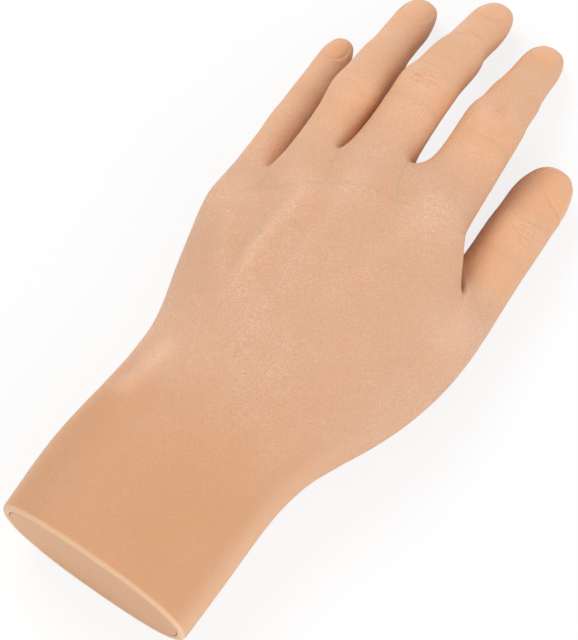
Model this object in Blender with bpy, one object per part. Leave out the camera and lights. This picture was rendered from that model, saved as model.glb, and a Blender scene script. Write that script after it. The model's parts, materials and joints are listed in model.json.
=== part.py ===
"""Life-size poseable silicone hand: a hinged finger skeleton inside a silicone skin.

X runs to the thumb side, Y from the wrist cut to the fingertips, Z up from the table.
Sizes are in millimetres and degrees; meshes are written in metres.
"""

import math

import bmesh
import bpy
from mathutils import Matrix, Vector

MM = 0.001

# Skeleton and fit
BONE_HALF_WIDTH = 3.0
BONE_HALF_HEIGHT = 2.6
TONGUE_WIDTH = 2.2
SIDE_PLAY = 0.3
END_PLAY = 0.4
PIN_RADIUS = 1.2
PIN_HOLE_RADIUS = 1.35
BORE_PLAY = 0.3
SECTION_GAP = 0.15
HINGE_WAIST = 1.3
TIP_COVER = 9.0
FORK_BLOCK = 13.0

# Nails: half spread round the tip, height over the skin, thickness under it, start and end
NAIL_SPREAD = 42.0
NAIL_RISE = 0.3
NAIL_DEPTH = 0.5
NAIL_START = 0.5
NAIL_END = 2.2

# Wrist end
RIM_WALL = 2.6
PLUG_DEPTH = 8.0
PLUG_RECESS = 0.3
STEM_START = 4.5

# Palm
PALM_SCALE_LIMIT = 1.016
KNUCKLE_RISE = 11.0
KNUCKLE_DROP = 13.5
KNUCKLE_VALLEY = 2.0
KNUCKLE_WIDTH = 9.2
LITTLE_EDGE = 2.2
LITTLE_EDGE_RISE = 6.5
LITTLE_EDGE_DROP = 8.5
INDEX_EDGE = 1.0
INDEX_EDGE_BACK = 2.0
INDEX_EDGE_RISE = 7.5
INDEX_EDGE_DROP = 10.0
KNUCKLE_CUT_BACK = 3.2
THUMB_BASE_INNER = -12.0
THUMB_BASE_UPPER = 14.0
HUB_Y = 66.0
HUB_Z = 21.0
HUB_LEFT = 13.0
HUB_RIGHT = 20.0
HUB_HALF_LENGTH = 6.0
HUB_HALF_HEIGHT = 4.0
STEM_HALF_WIDTH = 6.0
STEM_HALF_HEIGHT = 3.5
ARM_ROOTS = (-9.0, -3.0, 3.0, 9.0, 16.0)
ARM_ROOT_AHEAD = 2.0
ARM_LAP = 1.0
ARM_SLIM = 0.2

# Digits: knuckle point, heading, slope of each bone, bone lengths, section sizes.
# Widths and heights run from the base through shaft, middle hinge, shaft, end hinge, pad, tip.
FINGERS = {
    "little": {
        "knuckle": (-33.2, 113.0, 26.5),
        "heading": -6.6,
        "roll": 0.0,
        "slope": (14.0, 15.0, 14.0),
        "bones": (38.5, 20.0, 21.0),
        "nail_turn": -8.0,
        "start": 21.0,
        "width": (6.8, 6.1, 6.2, 5.8, 5.5, 5.3, 4.2),
        "rise": (7.0, 6.0, 6.3, 5.2, 5.0, 4.4, 3.0),
        "drop": (8.2, 7.4, 7.2, 6.5, 6.0, 5.8, 4.0),
    },
    "ring": {
        "knuckle": (-19.2, 127.0, 30.5),
        "heading": -6.2,
        "roll": 0.0,
        "slope": (4.0, 25.0, 24.0),
        "bones": (40.5, 27.5, 27.0),
        "nail_turn": -4.0,
        "start": 22.0,
        "width": (8.1, 7.5, 8.2, 7.6, 6.7, 6.6, 5.4),
        "rise": (8.0, 6.9, 7.5, 6.0, 5.7, 5.0, 3.4),
        "drop": (9.5, 8.6, 8.3, 7.5, 6.9, 6.7, 4.6),
    },
    "middle": {
        "knuckle": (-3.3, 136.5, 32.0),
        "heading": -4.3,
        "roll": -6.0,
        "slope": (4.0, 25.0, 25.0),
        "bones": (44.5, 27.5, 25.0),
        "nail_turn": 0.0,
        "start": 24.0,
        "width": (9.6, 9.2, 9.4, 8.4, 7.0, 6.9, 5.6),
        "rise": (8.4, 7.3, 7.9, 6.3, 6.0, 5.2, 3.5),
        "drop": (10.0, 9.1, 8.7, 9.0, 7.4, 7.2, 4.8),
    },
    "index": {
        "knuckle": (20.8, 141.0, 31.0),
        "heading": -5.0,
        "roll": 0.0,
        "slope": (5.0, 29.0, 28.0),
        "bones": (42.5, 23.5, 25.0),
        "nail_turn": 4.0,
        "start": 20.0,
        "width": (10.2, 9.7, 9.6, 8.4, 7.4, 7.0, 5.6),
        "rise": (8.3, 7.2, 7.8, 6.2, 5.9, 5.1, 3.4),
        "drop": (9.8, 8.9, 8.6, 9.0, 7.4, 7.1, 4.7),
    },
}
FINGER_ORDER = ("little", "ring", "middle", "index")
THUMB = {
    "knuckle": (41.6, 124.5, 16.5),
    "heading": -1.9,
    "roll": 0.0,
    "slope": (2.0, 12.0),
    "bones": (35.5, 29.0),
    "nail_turn": 22.0,
    "start": 12.0,
    "width": (10.2, 9.4, 9.5, 9.3, 7.2),
    "rise": (9.4, 8.2, 8.3, 6.4, 4.0),
    "drop": (10.4, 9.4, 8.8, 7.6, 4.6),
}

# Hinge travel from the pose as moulded: opened, curled
KNUCKLE_TRAVEL = (-8.0, 30.0)
MIDDLE_TRAVEL = (-10.0, 60.0)
END_TRAVEL = (-6.0, 40.0)
THUMB_KNUCKLE_TRAVEL = (-10.0, 25.0)
THUMB_END_TRAVEL = (-10.0, 45.0)

# Palm sections: left and right edge points, top and bottom heights, squareness
STATIONS = (
    ((-32.5, 0.0), (32.3, 0.0), 41.0, -1.2, 2.35),
    ((-34.1, 28.0), (32.5, 28.0), 41.5, -1.0, 2.35),
    ((-29.4, 56.0), (32.2, 57.0), 41.5, 2.0, 2.4),
    ((-30.0, 73.0), (45.8, 79.5), 42.5, -1.4, 2.4),
    ((-35.4, 88.0), (45.0, 101.0), 43.5, -1.6, 2.4),
    ((-38.2, 101.0), (37.0, 129.5), 43.5, 4.0, 2.4),
)
THUMB_ROOT_CENTRE = (43.4, 116.0, 16.5)
THUMB_ROOT_TURN = 44.0
THUMB_ROOT_SIZE = (12.4, 11.0, 12.0)
THUMB_WEB_BULGE = (8.0, 5.5, 0.0)
WEBS = ((-27.4, 130.0, 27.0), (-12.6, 147.0, 29.5), (6.0, 156.0, 29.0))
WEB_RISE = 8.0
WEB_DROP = 8.5
WEB_EDGE_BACK = 1.0
WEB_FOLD_AHEAD = 2.0
COLLAR_BACK = 8.0
INDEX_COLLAR_BACK = 4.0
THUMB_COLLAR_AHEAD = 5.0

# Sections beside a hinge, behind the shaft's middle, before the tip and past it
HINGE_FLANK = 5.0
SHAFT_BACK = 2.0
TIP_BACK = 2.8
TIP_AHEAD = 1.4
OCTAGON_LIMIT = 6.0 / (4.0 + 2.0 * math.cos(math.radians(45.0)))

COLOURS = {
    "skin": ((0.74, 0.43, 0.28, 1.0), 0.45),
    "plug": ((0.66, 0.45, 0.33, 1.0), 0.6),
    "bone": ((0.80, 0.80, 0.76, 1.0), 0.5),
    "pin": ((0.62, 0.62, 0.63, 1.0), 0.3),
}


def clear_scene():
    """Start from an empty scene."""
    for item in list(bpy.data.objects):
        bpy.data.objects.remove(item, do_unlink=True)


def material(kind):
    """Return the plain material of one kind of piece."""
    found = bpy.data.materials.get(kind)
    if found:
        return found
    made = bpy.data.materials.new(kind)
    made.use_nodes = True
    shader = made.node_tree.nodes["Principled BSDF"]
    colour, rough = COLOURS[kind]
    shader.inputs["Base Color"].default_value = colour
    shader.inputs["Roughness"].default_value = rough
    if kind == "pin":
        shader.inputs["Metallic"].default_value = 1.0
    made.diffuse_color = colour
    return made


def new_object(name, bm):
    """Turn a bmesh in millimetres into an object with outward faces."""
    bmesh.ops.recalc_face_normals(bm, faces=bm.faces)
    mesh = bpy.data.meshes.new(name)
    bm.to_mesh(mesh)
    bm.free()
    made = bpy.data.objects.new(name, mesh)
    bpy.context.scene.collection.objects.link(made)
    return made


def applied(target):
    """Replace an object's mesh by its evaluated mesh and drop its modifiers."""
    bpy.context.view_layer.update()
    graph = bpy.context.evaluated_depsgraph_get()
    fresh = bpy.data.meshes.new_from_object(target.evaluated_get(graph))
    old = target.data
    target.modifiers.clear()
    target.data = fresh
    bpy.data.meshes.remove(old)
    return target


def combine(target, other, operation, keep=False):
    """Apply one exact Boolean and remove the second solid."""
    step = target.modifiers.new("Cut", "BOOLEAN")
    step.operation = operation
    step.solver = "EXACT"
    step.object = other
    applied(target)
    if not keep:
        bpy.data.objects.remove(other, do_unlink=True)
    return target


def copy_of(source, name):
    """Return a separate copy of a solid."""
    made = source.copy()
    made.data = source.data.copy()
    made.name = name
    bpy.context.scene.collection.objects.link(made)
    return made


def subdivided(target, levels):
    """Round a control cage."""
    step = target.modifiers.new("Round", "SUBSURF")
    step.levels = levels
    step.render_levels = levels
    return applied(target)


def loft(bm, rings):
    """Join rings of equal length with four-sided faces."""
    for lower, upper in zip(rings[:-1], rings[1:]):
        count = len(lower)
        for i in range(count):
            j = (i + 1) % count
            bm.faces.new((lower[i], lower[j], upper[j], upper[i]))


def sharp_cap(bm, ring):
    """Close a ring with one flat face and keep its edge sharp."""
    face = bm.faces.new(ring)
    layer = bm.edges.layers.float.get("crease_edge")
    if layer is None:
        layer = bm.edges.layers.float.new("crease_edge")
    for edge in face.edges:
        edge[layer] = 1.0


def rotate_about(vector, axis, degrees):
    """Turn a vector about an axis."""
    return Matrix.Rotation(math.radians(degrees), 3, axis) @ vector


class Digit:
    """Hinge points and directions of one finger or thumb."""

    def __init__(self, spec):
        self.spec = spec
        heading = math.radians(spec["heading"])
        level = Vector((math.sin(heading), math.cos(heading), 0.0))
        self.hinge = rotate_about(Vector((math.cos(heading), -math.sin(heading), 0.0)), level, spec["roll"])
        self.along = []
        self.points = [Vector(spec["knuckle"])]
        for slope, length in zip(spec["slope"], spec["bones"]):
            direction = rotate_about(level, self.hinge, -slope)
            self.along.append(direction)
            self.points.append(self.points[-1] + direction * length)

    def up(self, bone):
        """Direction of the back of the digit on one bone."""
        return self.hinge.cross(self.along[bone])

    def frame(self, bone, at=0.0, tilt=0.0):
        """Local frame on a bone: x hinge, y along, z back of the digit."""
        along = rotate_about(self.along[bone], self.hinge, tilt)
        up = self.hinge.cross(along)
        place = self.points[bone] + self.along[bone] * at
        rows = [(self.hinge[i], along[i], up[i], place[i]) for i in range(3)]
        return Matrix(rows + [(0.0, 0.0, 0.0, 1.0)])

    def half_bend(self, joint):
        """Half of the bend at a hinge as moulded."""
        return 0.5 * (self.spec["slope"][joint] - self.spec["slope"][joint - 1])


def ring_shape(width, rise, drop):
    """Eight cage points of a digit section, from the back round the thumb side."""
    points = []
    for step in range(8):
        angle = math.radians(90.0 - 45.0 * step)
        x = width * OCTAGON_LIMIT * math.cos(angle)
        z = (rise if math.sin(angle) > 0.0 else drop) * OCTAGON_LIMIT * math.sin(angle)
        points.append((x, z))
    return points


def add_ring(bm, place, width, rise, drop):
    """Add one section ring in a local frame."""
    return [bm.verts.new(place @ Vector((x, 0.0, z))) for x, z in ring_shape(width, rise, drop)]


def mix(a, b, share):
    """Blend two numbers."""
    return a + (b - a) * share


def digit_stations(digit):
    """List frames and sizes of a digit from its skin start to near its tip."""
    spec = digit.spec
    sizes = list(zip(spec["width"], spec["rise"], spec["drop"]))
    bones = spec["bones"]
    last = len(bones) - 1
    rows = []
    shaft = 0.5 * (spec["start"] + bones[0]) - SHAFT_BACK
    first = sizes[1]
    start_size = [mix(a, b, 0.4) for a, b in zip(sizes[1], sizes[0])]
    rows.append((digit.frame(0, spec["start"]), start_size))
    rows.append((digit.frame(0, shaft), first))
    for joint in range(1, len(bones)):
        knuckle = sizes[2 * joint]
        before = [mix(a, b, 0.7) for a, b in zip(sizes[2 * joint - 1], knuckle)]
        after = [mix(a, b, 0.7) for a, b in zip(sizes[2 * joint + 1], knuckle)]
        rows.append((digit.frame(joint - 1, bones[joint - 1] - HINGE_FLANK), before))
        rows.append((digit.frame(joint, 0.0, digit.half_bend(joint)), knuckle))
        rows.append((digit.frame(joint, HINGE_FLANK), after))
        if joint < last:
            rows.append((digit.frame(joint, 0.5 * bones[joint]), sizes[2 * joint + 1]))
    length = bones[last]
    rows.append((digit.frame(last, 0.55 * length), sizes[-2]))
    rows.append((digit.frame(last, length - TIP_BACK), sizes[-1]))
    tip = [0.55 * value for value in sizes[-1]]
    rows.append((digit.frame(last, length + TIP_AHEAD), tip))
    return rows


def digit_tube(name, digit):
    """Build the outer form of a digit past its skin start."""
    bm = bmesh.new()
    rings = []
    rows = digit_stations(digit)
    place, size = rows[0]
    lead = place @ Matrix.Translation((0.0, SECTION_GAP, 0.0))
    rings.append(add_ring(bm, lead, *size))
    for place, size in rows[1:]:
        rings.append(add_ring(bm, place, *size))
    loft(bm, rings)
    sharp_cap(bm, rings[0])
    bm.faces.new(rings[-1])
    return subdivided(new_object(name, bm), 1)


def palm_ring(station):
    """Twenty cage points of a palm section: back row, thumb side, palm row, little side."""
    left, right, top, bottom, square = station
    points = []
    centre = 0.5 * (Vector(left) + Vector(right))
    half = 0.5 * (Vector(right) - Vector(left))
    middle = 0.5 * (top + bottom)
    height = 0.5 * (top - bottom)
    for step in range(20):
        angle = math.radians(162.0 - 18.0 * step)
        c = math.cos(angle)
        s = math.sin(angle)
        u = math.copysign(abs(c) ** (2.0 / square), c) * PALM_SCALE_LIMIT
        v = math.copysign(abs(s) ** (2.0 / square), s) * PALM_SCALE_LIMIT
        flat = centre + half * u
        points.append(Vector((flat.x, flat.y, middle + height * v)))
    return points


def knuckle_ring(digits):
    """Twenty cage points across the four finger knuckles."""
    back = []
    under = []
    for name in FINGER_ORDER:
        digit = digits[name]
        size = digit.spec["width"][0] / KNUCKLE_WIDTH
        back.append(digit.points[0] + digit.up(0) * KNUCKLE_RISE * size)
        under.append(digit.points[0] - digit.up(0) * KNUCKLE_DROP * size)
    first = digits["little"]
    last = digits["index"]
    reach = first.spec["width"][0] + LITTLE_EDGE
    far = last.spec["width"][0] + INDEX_EDGE
    low = first.points[0] - first.hinge * reach
    high = last.points[0] + last.hinge * far
    row = [low * 0.75 + first.points[0] * 0.25 + Vector((0.0, 0.0, LITTLE_EDGE_RISE))]
    base = [low * 0.75 + first.points[0] * 0.25 - Vector((0.0, 0.0, LITTLE_EDGE_DROP))]
    for i in range(4):
        row.append(back[i])
        base.append(under[i])
        if i < 3:
            row.append(0.5 * (back[i] + back[i + 1]) - Vector((0.0, 0.0, KNUCKLE_VALLEY)))
            base.append(0.5 * (under[i] + under[i + 1]))
    edge = high * 0.78 + last.points[0] * 0.22
    row.append(edge + Vector((0.0, -INDEX_EDGE_BACK, INDEX_EDGE_RISE)))
    base.append(edge + Vector((0.0, -INDEX_EDGE_BACK, -INDEX_EDGE_DROP)))
    return row + [high + Vector((0.0, -INDEX_EDGE_BACK, 0.0))] + base[::-1] + [low]


def body_form(digits, thumb):
    """Build the closed outer form of wrist, palm, webs and the stubs of the digits."""
    bm = bmesh.new()
    rings = [[bm.verts.new(p) for p in palm_ring(s)] for s in STATIONS]
    rings.append([bm.verts.new(p) for p in knuckle_ring(digits)])
    for r, i, share in ((5, 8, 1.0), (5, 7, 0.5), (6, 8, 0.45), (4, 8, 0.4)):
        rings[r][i].co += Vector(THUMB_WEB_BULGE) * share
    web_back = []
    web_mid = []
    web_under = []
    for x, y, z in WEBS:
        web_back.append(bm.verts.new((x, y - WEB_EDGE_BACK, z + WEB_RISE)))
        web_mid.append(bm.verts.new((x, y + WEB_FOLD_AHEAD, z)))
        web_under.append(bm.verts.new((x, y - WEB_EDGE_BACK, z - WEB_DROP)))
    collars = []
    for i, name in enumerate(FINGER_ORDER):
        digit = digits[name]
        spec = digit.spec
        place = digit.frame(0, spec["start"] - COLLAR_BACK)
        size = (spec["width"][0], spec["rise"][0], spec["drop"][0])
        shape = [place @ Vector((x, 0.0, z)) for x, z in ring_shape(*size)]
        ring = [bm.verts.new(shape[0])]
        if i < 3:
            ring += [web_back[i], web_mid[i], web_under[i]]
        else:
            ring += [bm.verts.new(p + Vector((0.0, -INDEX_COLLAR_BACK, 0.0))) for p in shape[1:4]]
        ring.append(bm.verts.new(shape[4]))
        if i > 0:
            ring += [web_under[i - 1], web_mid[i - 1], web_back[i - 1]]
        else:
            ring += [bm.verts.new(p) for p in shape[5:8]]
        collars.append(ring)
    web = [collars[0][7]]
    for i in range(4):
        web.append(collars[i][0])
        web.append(collars[i][1])
    web.append(collars[3][2])
    web.append(collars[3][3])
    for i in range(3, -1, -1):
        web.append(collars[i][4])
        web.append(collars[i][5])
    web.append(collars[0][6])
    rings.append(web)
    hole = {(3, 8), (3, 9), (4, 8), (4, 9)}
    for r in range(len(rings) - 1):
        for i in range(20):
            if (r, i) in hole:
                continue
            j = (i + 1) % 20
            bm.faces.new((rings[r][i], rings[r][j], rings[r + 1][j], rings[r + 1][i]))
    bm.verts.remove(rings[4][9])
    sharp_cap(bm, rings[0])
    for ring, name in zip(collars, FINGER_ORDER):
        digit = digits[name]
        place, size = digit_stations(digit)[0]
        lead = place @ Matrix.Translation((0.0, -SECTION_GAP, 0.0))
        end = add_ring(bm, lead, *size)
        loft(bm, [ring, end])
        sharp_cap(bm, end)
    root = [rings[4][8], rings[3][8], rings[3][9], rings[3][10]]
    root += [rings[4][10], rings[5][10], rings[5][9], rings[5][8]]
    spec = thumb.spec
    size = (spec["width"][0], spec["rise"][0], spec["drop"][0])
    turned = Matrix.Rotation(math.radians(-THUMB_ROOT_TURN), 4, "Z")
    inner = add_ring(bm, Matrix.Translation(THUMB_ROOT_CENTRE) @ turned, *THUMB_ROOT_SIZE)
    at_hinge = add_ring(bm, thumb.frame(0, THUMB_COLLAR_AHEAD), *size)
    place, end_size = digit_stations(thumb)[0]
    lead = place @ Matrix.Translation((0.0, -SECTION_GAP, 0.0))
    end = add_ring(bm, lead, *end_size)
    loft(bm, [root, inner, at_hinge, end])
    sharp_cap(bm, end)
    return subdivided(new_object("hand_form", bm), 1)


def box(name, place, low, high):
    """Box between two corners in a local frame."""
    bm = bmesh.new()
    bmesh.ops.create_cube(bm, size=1.0)
    low = Vector(low)
    high = Vector(high)
    for vert in bm.verts:
        share = vert.co + Vector((0.5, 0.5, 0.5))
        span = high - low
        vert.co = place @ (low + Vector((span.x * share.x, span.y * share.y, span.z * share.z)))
    return new_object(name, bm)


def prism(name, place, profile, low, high):
    """Profile in the local y and z plane, extruded along x."""
    bm = bmesh.new()
    rings = []
    for x in (low, high):
        rings.append([bm.verts.new(place @ Vector((x, y, z))) for y, z in profile])
    loft(bm, rings)
    bm.faces.new(rings[0])
    bm.faces.new(rings[1])
    return new_object(name, bm)


def stadium(start, end, radius):
    """Outline of a bar with rounded ends."""
    points = []
    for step in range(7):
        angle = math.radians(90.0 + 30.0 * step)
        points.append((start + radius * math.cos(angle), radius * math.sin(angle)))
    for step in range(7):
        angle = math.radians(-90.0 + 30.0 * step)
        points.append((end + radius * math.cos(angle), radius * math.sin(angle)))
    return points


def circle(at, radius, sides=12):
    """Outline of a round hole or pin."""
    turn = [2.0 * math.pi * (i + 0.5) / sides for i in range(sides)]
    return [(at + radius * math.cos(t), radius * math.sin(t)) for t in turn]


def bar(name, digit, bone, start, end, grow=0.0):
    """Rounded bar on one bone of a digit, grown for its bore."""
    width = BONE_HALF_WIDTH + grow
    outline = stadium(start, end, BONE_HALF_HEIGHT + grow)
    return prism(name, digit.frame(bone), outline, -width, width)


def cut_tongue(target, place):
    """Leave a narrow tongue at the near end of a bone."""
    reach = BONE_HALF_HEIGHT + END_PLAY
    tall = BONE_HALF_HEIGHT + 2.0
    side = BONE_HALF_WIDTH + 1.0
    for sign in (-1.0, 1.0):
        near = sign * 0.5 * TONGUE_WIDTH
        far = sign * side
        low = (min(near, far), -reach - 3.0, -tall)
        high = (max(near, far), reach, tall)
        combine(target, box("cut", place, low, high), "DIFFERENCE")


def cut_fork(target, place):
    """Open a slot at the far end of a bone."""
    reach = BONE_HALF_HEIGHT + END_PLAY
    slot = 0.5 * TONGUE_WIDTH + SIDE_PLAY
    tall = BONE_HALF_HEIGHT + 2.0
    combine(target, box("cut", place, (-slot, -reach, -tall), (slot, reach + 3.0, tall)), "DIFFERENCE")


def cut_hole(target, place):
    """Drill a hinge hole."""
    side = BONE_HALF_WIDTH + 2.0
    combine(target, prism("cut", place, circle(0.0, PIN_HOLE_RADIUS), -side, side), "DIFFERENCE")


def digit_bone(name, digit, bone):
    """Hinged link of the skeleton; the last one ends plain inside the fingertip."""
    bones = digit.spec["bones"]
    last = bone == len(bones) - 1
    end = bones[bone] - TIP_COVER if last else bones[bone]
    made = bar(name, digit, bone, 0.0, end)
    cut_tongue(made, digit.frame(bone))
    cut_hole(made, digit.frame(bone))
    if not last:
        far = digit.frame(bone, bones[bone])
        cut_fork(made, far)
        cut_hole(made, far)
    return made


def pin(name, digit, joint):
    """Hinge pin across a fork, flush with its sides."""
    bone = min(joint, len(digit.along) - 1)
    outline = circle(0.0, PIN_RADIUS)
    return prism(name, digit.frame(bone), outline, -BONE_HALF_WIDTH, BONE_HALF_WIDTH)


def hourglass(name, digit, joint, travel, shrink):
    """Space between two skin sections at a hinge: narrow at the axis, wider above and below."""
    tall = 24.0
    waist = HINGE_WAIST - shrink
    back = waist + tall * math.tan(math.radians(0.5 * abs(travel[0])))
    under = waist + tall * math.tan(math.radians(0.5 * travel[1]))
    profile = [(-back, tall), (-waist, 0.0), (-under, -tall), (under, -tall), (waist, 0.0), (back, tall)]
    place = digit.frame(joint, 0.0, digit.half_bend(joint))
    return prism(name, place, profile, -26.0, 26.0)


def beam(name, start, end, half):
    """Square beam between two points."""
    along = (end - start).normalized()
    side = along.cross(Vector((0.0, 0.0, 1.0))).normalized()
    up = side.cross(along)
    rows = [(side[i], along[i], up[i], start[i]) for i in range(3)]
    place = Matrix(rows + [(0.0, 0.0, 0.0, 1.0)])
    return box(name, place, (-half, 0.0, -half), (half, (end - start).length, half))


def frame_solid(name, digits, thumb, grow):
    """Palm frame without its slots: wrist stem, hub, and an arm to every knuckle."""
    flat = Matrix.Identity(4)
    half = BONE_HALF_HEIGHT + grow - ARM_SLIM
    low = (-HUB_LEFT - grow, HUB_Y - HUB_HALF_LENGTH - grow, HUB_Z - HUB_HALF_HEIGHT - grow)
    high = (HUB_RIGHT + grow, HUB_Y + HUB_HALF_LENGTH + grow, HUB_Z + HUB_HALF_HEIGHT + grow)
    made = box(name, flat, low, high)
    low = (-STEM_HALF_WIDTH - grow, STEM_START - grow, HUB_Z - STEM_HALF_HEIGHT - grow)
    high = (STEM_HALF_WIDTH + grow, HUB_Y, HUB_Z + STEM_HALF_HEIGHT + grow)
    combine(made, box("add", flat, low, high), "UNION")
    arms = [digits[n] for n in FINGER_ORDER] + [thumb]
    for root, digit in zip(ARM_ROOTS, arms):
        block = bar("add", digit, 0, -FORK_BLOCK, 0.0, grow)
        start = Vector((root, HUB_Y + ARM_ROOT_AHEAD, HUB_Z))
        end = digit.points[0] - digit.along[0] * (FORK_BLOCK - ARM_LAP)
        combine(block, beam("add", start, end, half), "UNION")
        combine(made, block, "UNION")
    return made


def palm_frame(name, digits, thumb):
    """Palm frame with a slotted fork at every knuckle."""
    made = frame_solid(name, digits, thumb, 0.0)
    for digit in [digits[n] for n in FINGER_ORDER] + [thumb]:
        cut_fork(made, digit.frame(0))
        cut_hole(made, digit.frame(0))
    return made


def wrist_outline(inset):
    """Oval of the wrist opening."""
    points = []
    left, right, top, bottom, square = STATIONS[0]
    half_width = 0.5 * (right[0] - left[0]) - inset
    half_height = 0.5 * top - inset
    for step in range(32):
        angle = 2.0 * math.pi * step / 32
        c = math.cos(angle)
        s = math.sin(angle)
        x = half_width * math.copysign(abs(c) ** (2.0 / square), c)
        z = 0.5 * top + half_height * math.copysign(abs(s) ** (2.0 / square), s)
        points.append((x, z))
    return points


def oval_plate(name, inset, near, far):
    """Oval plate across the wrist end."""
    bm = bmesh.new()
    rings = []
    for y in (near, far):
        rings.append([bm.verts.new((x, y, z)) for x, z in wrist_outline(inset)])
    loft(bm, rings)
    bm.faces.new(rings[0])
    bm.faces.new(rings[1])
    return new_object(name, bm)


def knuckle_zone(name, digits, offset):
    """Everything past the finger knuckles, bounded on the thumb side."""
    points = []
    for finger in FINGER_ORDER:
        digit = digits[finger]
        points.append(digit.points[0] + digit.along[0] * offset)
    first = points[0] - digits["little"].hinge * 30.0
    last = points[-1] + digits["index"].hinge * 30.0
    plan = [first] + points + [last]
    plan += [last + Vector((0.0, 90.0, 0.0)), first + Vector((0.0, 120.0, 0.0))]
    bm = bmesh.new()
    rings = []
    for z in (-20.0, 80.0):
        rings.append([bm.verts.new((p.x, p.y, z)) for p in plan])
    loft(bm, rings)
    bm.faces.new(rings[0])
    bm.faces.new(rings[1])
    return new_object(name, bm)


def thumb_zone(name, thumb, offset, inset):
    """Block round the base of the thumb past its knuckle."""
    low = (THUMB_BASE_INNER + inset, offset, -40.0)
    high = (40.0, 40.0, THUMB_BASE_UPPER - inset)
    return box(name, thumb.frame(0), low, high)


def nail(name, digit):
    """Curved plate that stands a little proud of the back of a fingertip."""
    spec = digit.spec
    last = len(spec["bones"]) - 1
    length = spec["bones"][last]
    near = NAIL_START * length
    far = length - NAIL_END
    pad = 0.55 * length
    tip = length - TIP_BACK
    bm = bmesh.new()
    layers = []
    for lift in (-NAIL_DEPTH, NAIL_RISE):
        rows = []
        for j in range(5):
            row = []
            for i in range(5):
                u = 0.5 * i - 1.0
                v = 0.5 * j - 1.0
                across = u * math.sqrt(1.0 - 0.5 * v * v)
                along = v * math.sqrt(1.0 - 0.5 * u * u)
                y = mix(near, far, 0.5 + 0.5 * along)
                share = (y - pad) / (tip - pad)
                width = mix(spec["width"][-2], spec["width"][-1], share) + lift
                rise = mix(spec["rise"][-2], spec["rise"][-1], share) + lift
                angle = math.radians(across * NAIL_SPREAD + spec["nail_turn"])
                point = Vector((width * math.sin(angle), y, rise * math.cos(angle)))
                row.append(bm.verts.new(digit.frame(last) @ point))
            rows.append(row)
        layers.append(rows)
    for rows in layers:
        for j in range(4):
            for i in range(4):
                bm.faces.new((rows[j][i], rows[j][i + 1], rows[j + 1][i + 1], rows[j + 1][i]))
    rims = []
    for rows in layers:
        rim = rows[0] + [rows[j][4] for j in range(1, 5)]
        rim += rows[4][3::-1] + [rows[j][0] for j in range(3, 0, -1)]
        rims.append(rim)
    loft(bm, rims)
    bmesh.ops.recalc_face_normals(bm, faces=bm.faces)
    return new_object(name, bm)


PIECES = []


def finish(made, kind, origin):
    """Name a finished piece, colour it and set its origin."""
    made.data.materials.clear()
    made.data.materials.append(material(kind))
    for polygon in made.data.polygons:
        polygon.material_index = 0
    bm = bmesh.new()
    bm.from_mesh(made.data)
    bmesh.ops.remove_doubles(bm, verts=bm.verts, dist=0.002)
    bmesh.ops.dissolve_degenerate(bm, edges=bm.edges, dist=0.002)
    bmesh.ops.recalc_face_normals(bm, faces=bm.faces)
    bmesh.ops.translate(bm, verts=bm.verts, vec=-Vector(origin))
    bmesh.ops.scale(bm, verts=bm.verts, vec=(MM, MM, MM))
    bm.to_mesh(made.data)
    bm.free()
    made.location = Vector(origin) * MM
    PIECES.append(made)
    return made


def build_digit(name, digit, travels):
    """Build skin sections, hinge bands, bones and pins of one digit."""
    bones = digit.spec["bones"]
    names = ("proximal", "middle", "distal") if len(bones) == 3 else ("proximal", "distal")
    hinges = ("pip", "dip") if len(bones) == 3 else ("ip",)
    form = digit_tube(name + "_form", digit)
    bores = []
    for bone, length in enumerate(bones):
        last = bone == len(bones) - 1
        bores.append((bone, 0.0, length - TIP_COVER if last else length))
    for bone, part in enumerate(names):
        skin = copy_of(form, name + "_" + part + "_skin")
        for joint in range(1, len(bones)):
            place = digit.frame(joint, 0.0, digit.half_bend(joint))
            if joint <= bone:
                region = box("cut", place, (-40.0, 0.0, -40.0), (40.0, 140.0, 40.0))
                combine(skin, region, "INTERSECT")
            if joint == bone + 1:
                region = box("cut", place, (-40.0, -140.0, -40.0), (40.0, 0.0, 40.0))
                combine(skin, region, "INTERSECT")
            if joint in (bone, bone + 1):
                combine(skin, hourglass("cut", digit, joint, travels[joint - 1], 0.0), "DIFFERENCE")
        for at, start, end in bores:
            if abs(at - bone) <= 1:
                combine(skin, bar("cut", digit, at, start, end, BORE_PLAY), "DIFFERENCE")
        if bone == len(bones) - 1:
            combine(skin, nail("plate", digit), "UNION")
        finish(skin, "skin", digit.points[bone])
        finish(digit_bone(name + "_" + part + "_bone", digit, bone), "bone", digit.points[bone])
    for joint, hinge in enumerate(hinges, start=1):
        band = copy_of(form, name + "_" + hinge + "_band")
        shape = hourglass("cut", digit, joint, travels[joint - 1], 2.0 * SECTION_GAP)
        combine(band, shape, "INTERSECT")
        for at, start, end in bores:
            if at in (joint - 1, joint):
                combine(band, bar("cut", digit, at, start, end, BORE_PLAY), "DIFFERENCE")
        finish(band, "skin", digit.points[joint])
        finish(pin(name + "_" + hinge + "_pin", digit, joint), "pin", digit.points[joint])
    bpy.data.objects.remove(form, do_unlink=True)


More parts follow.
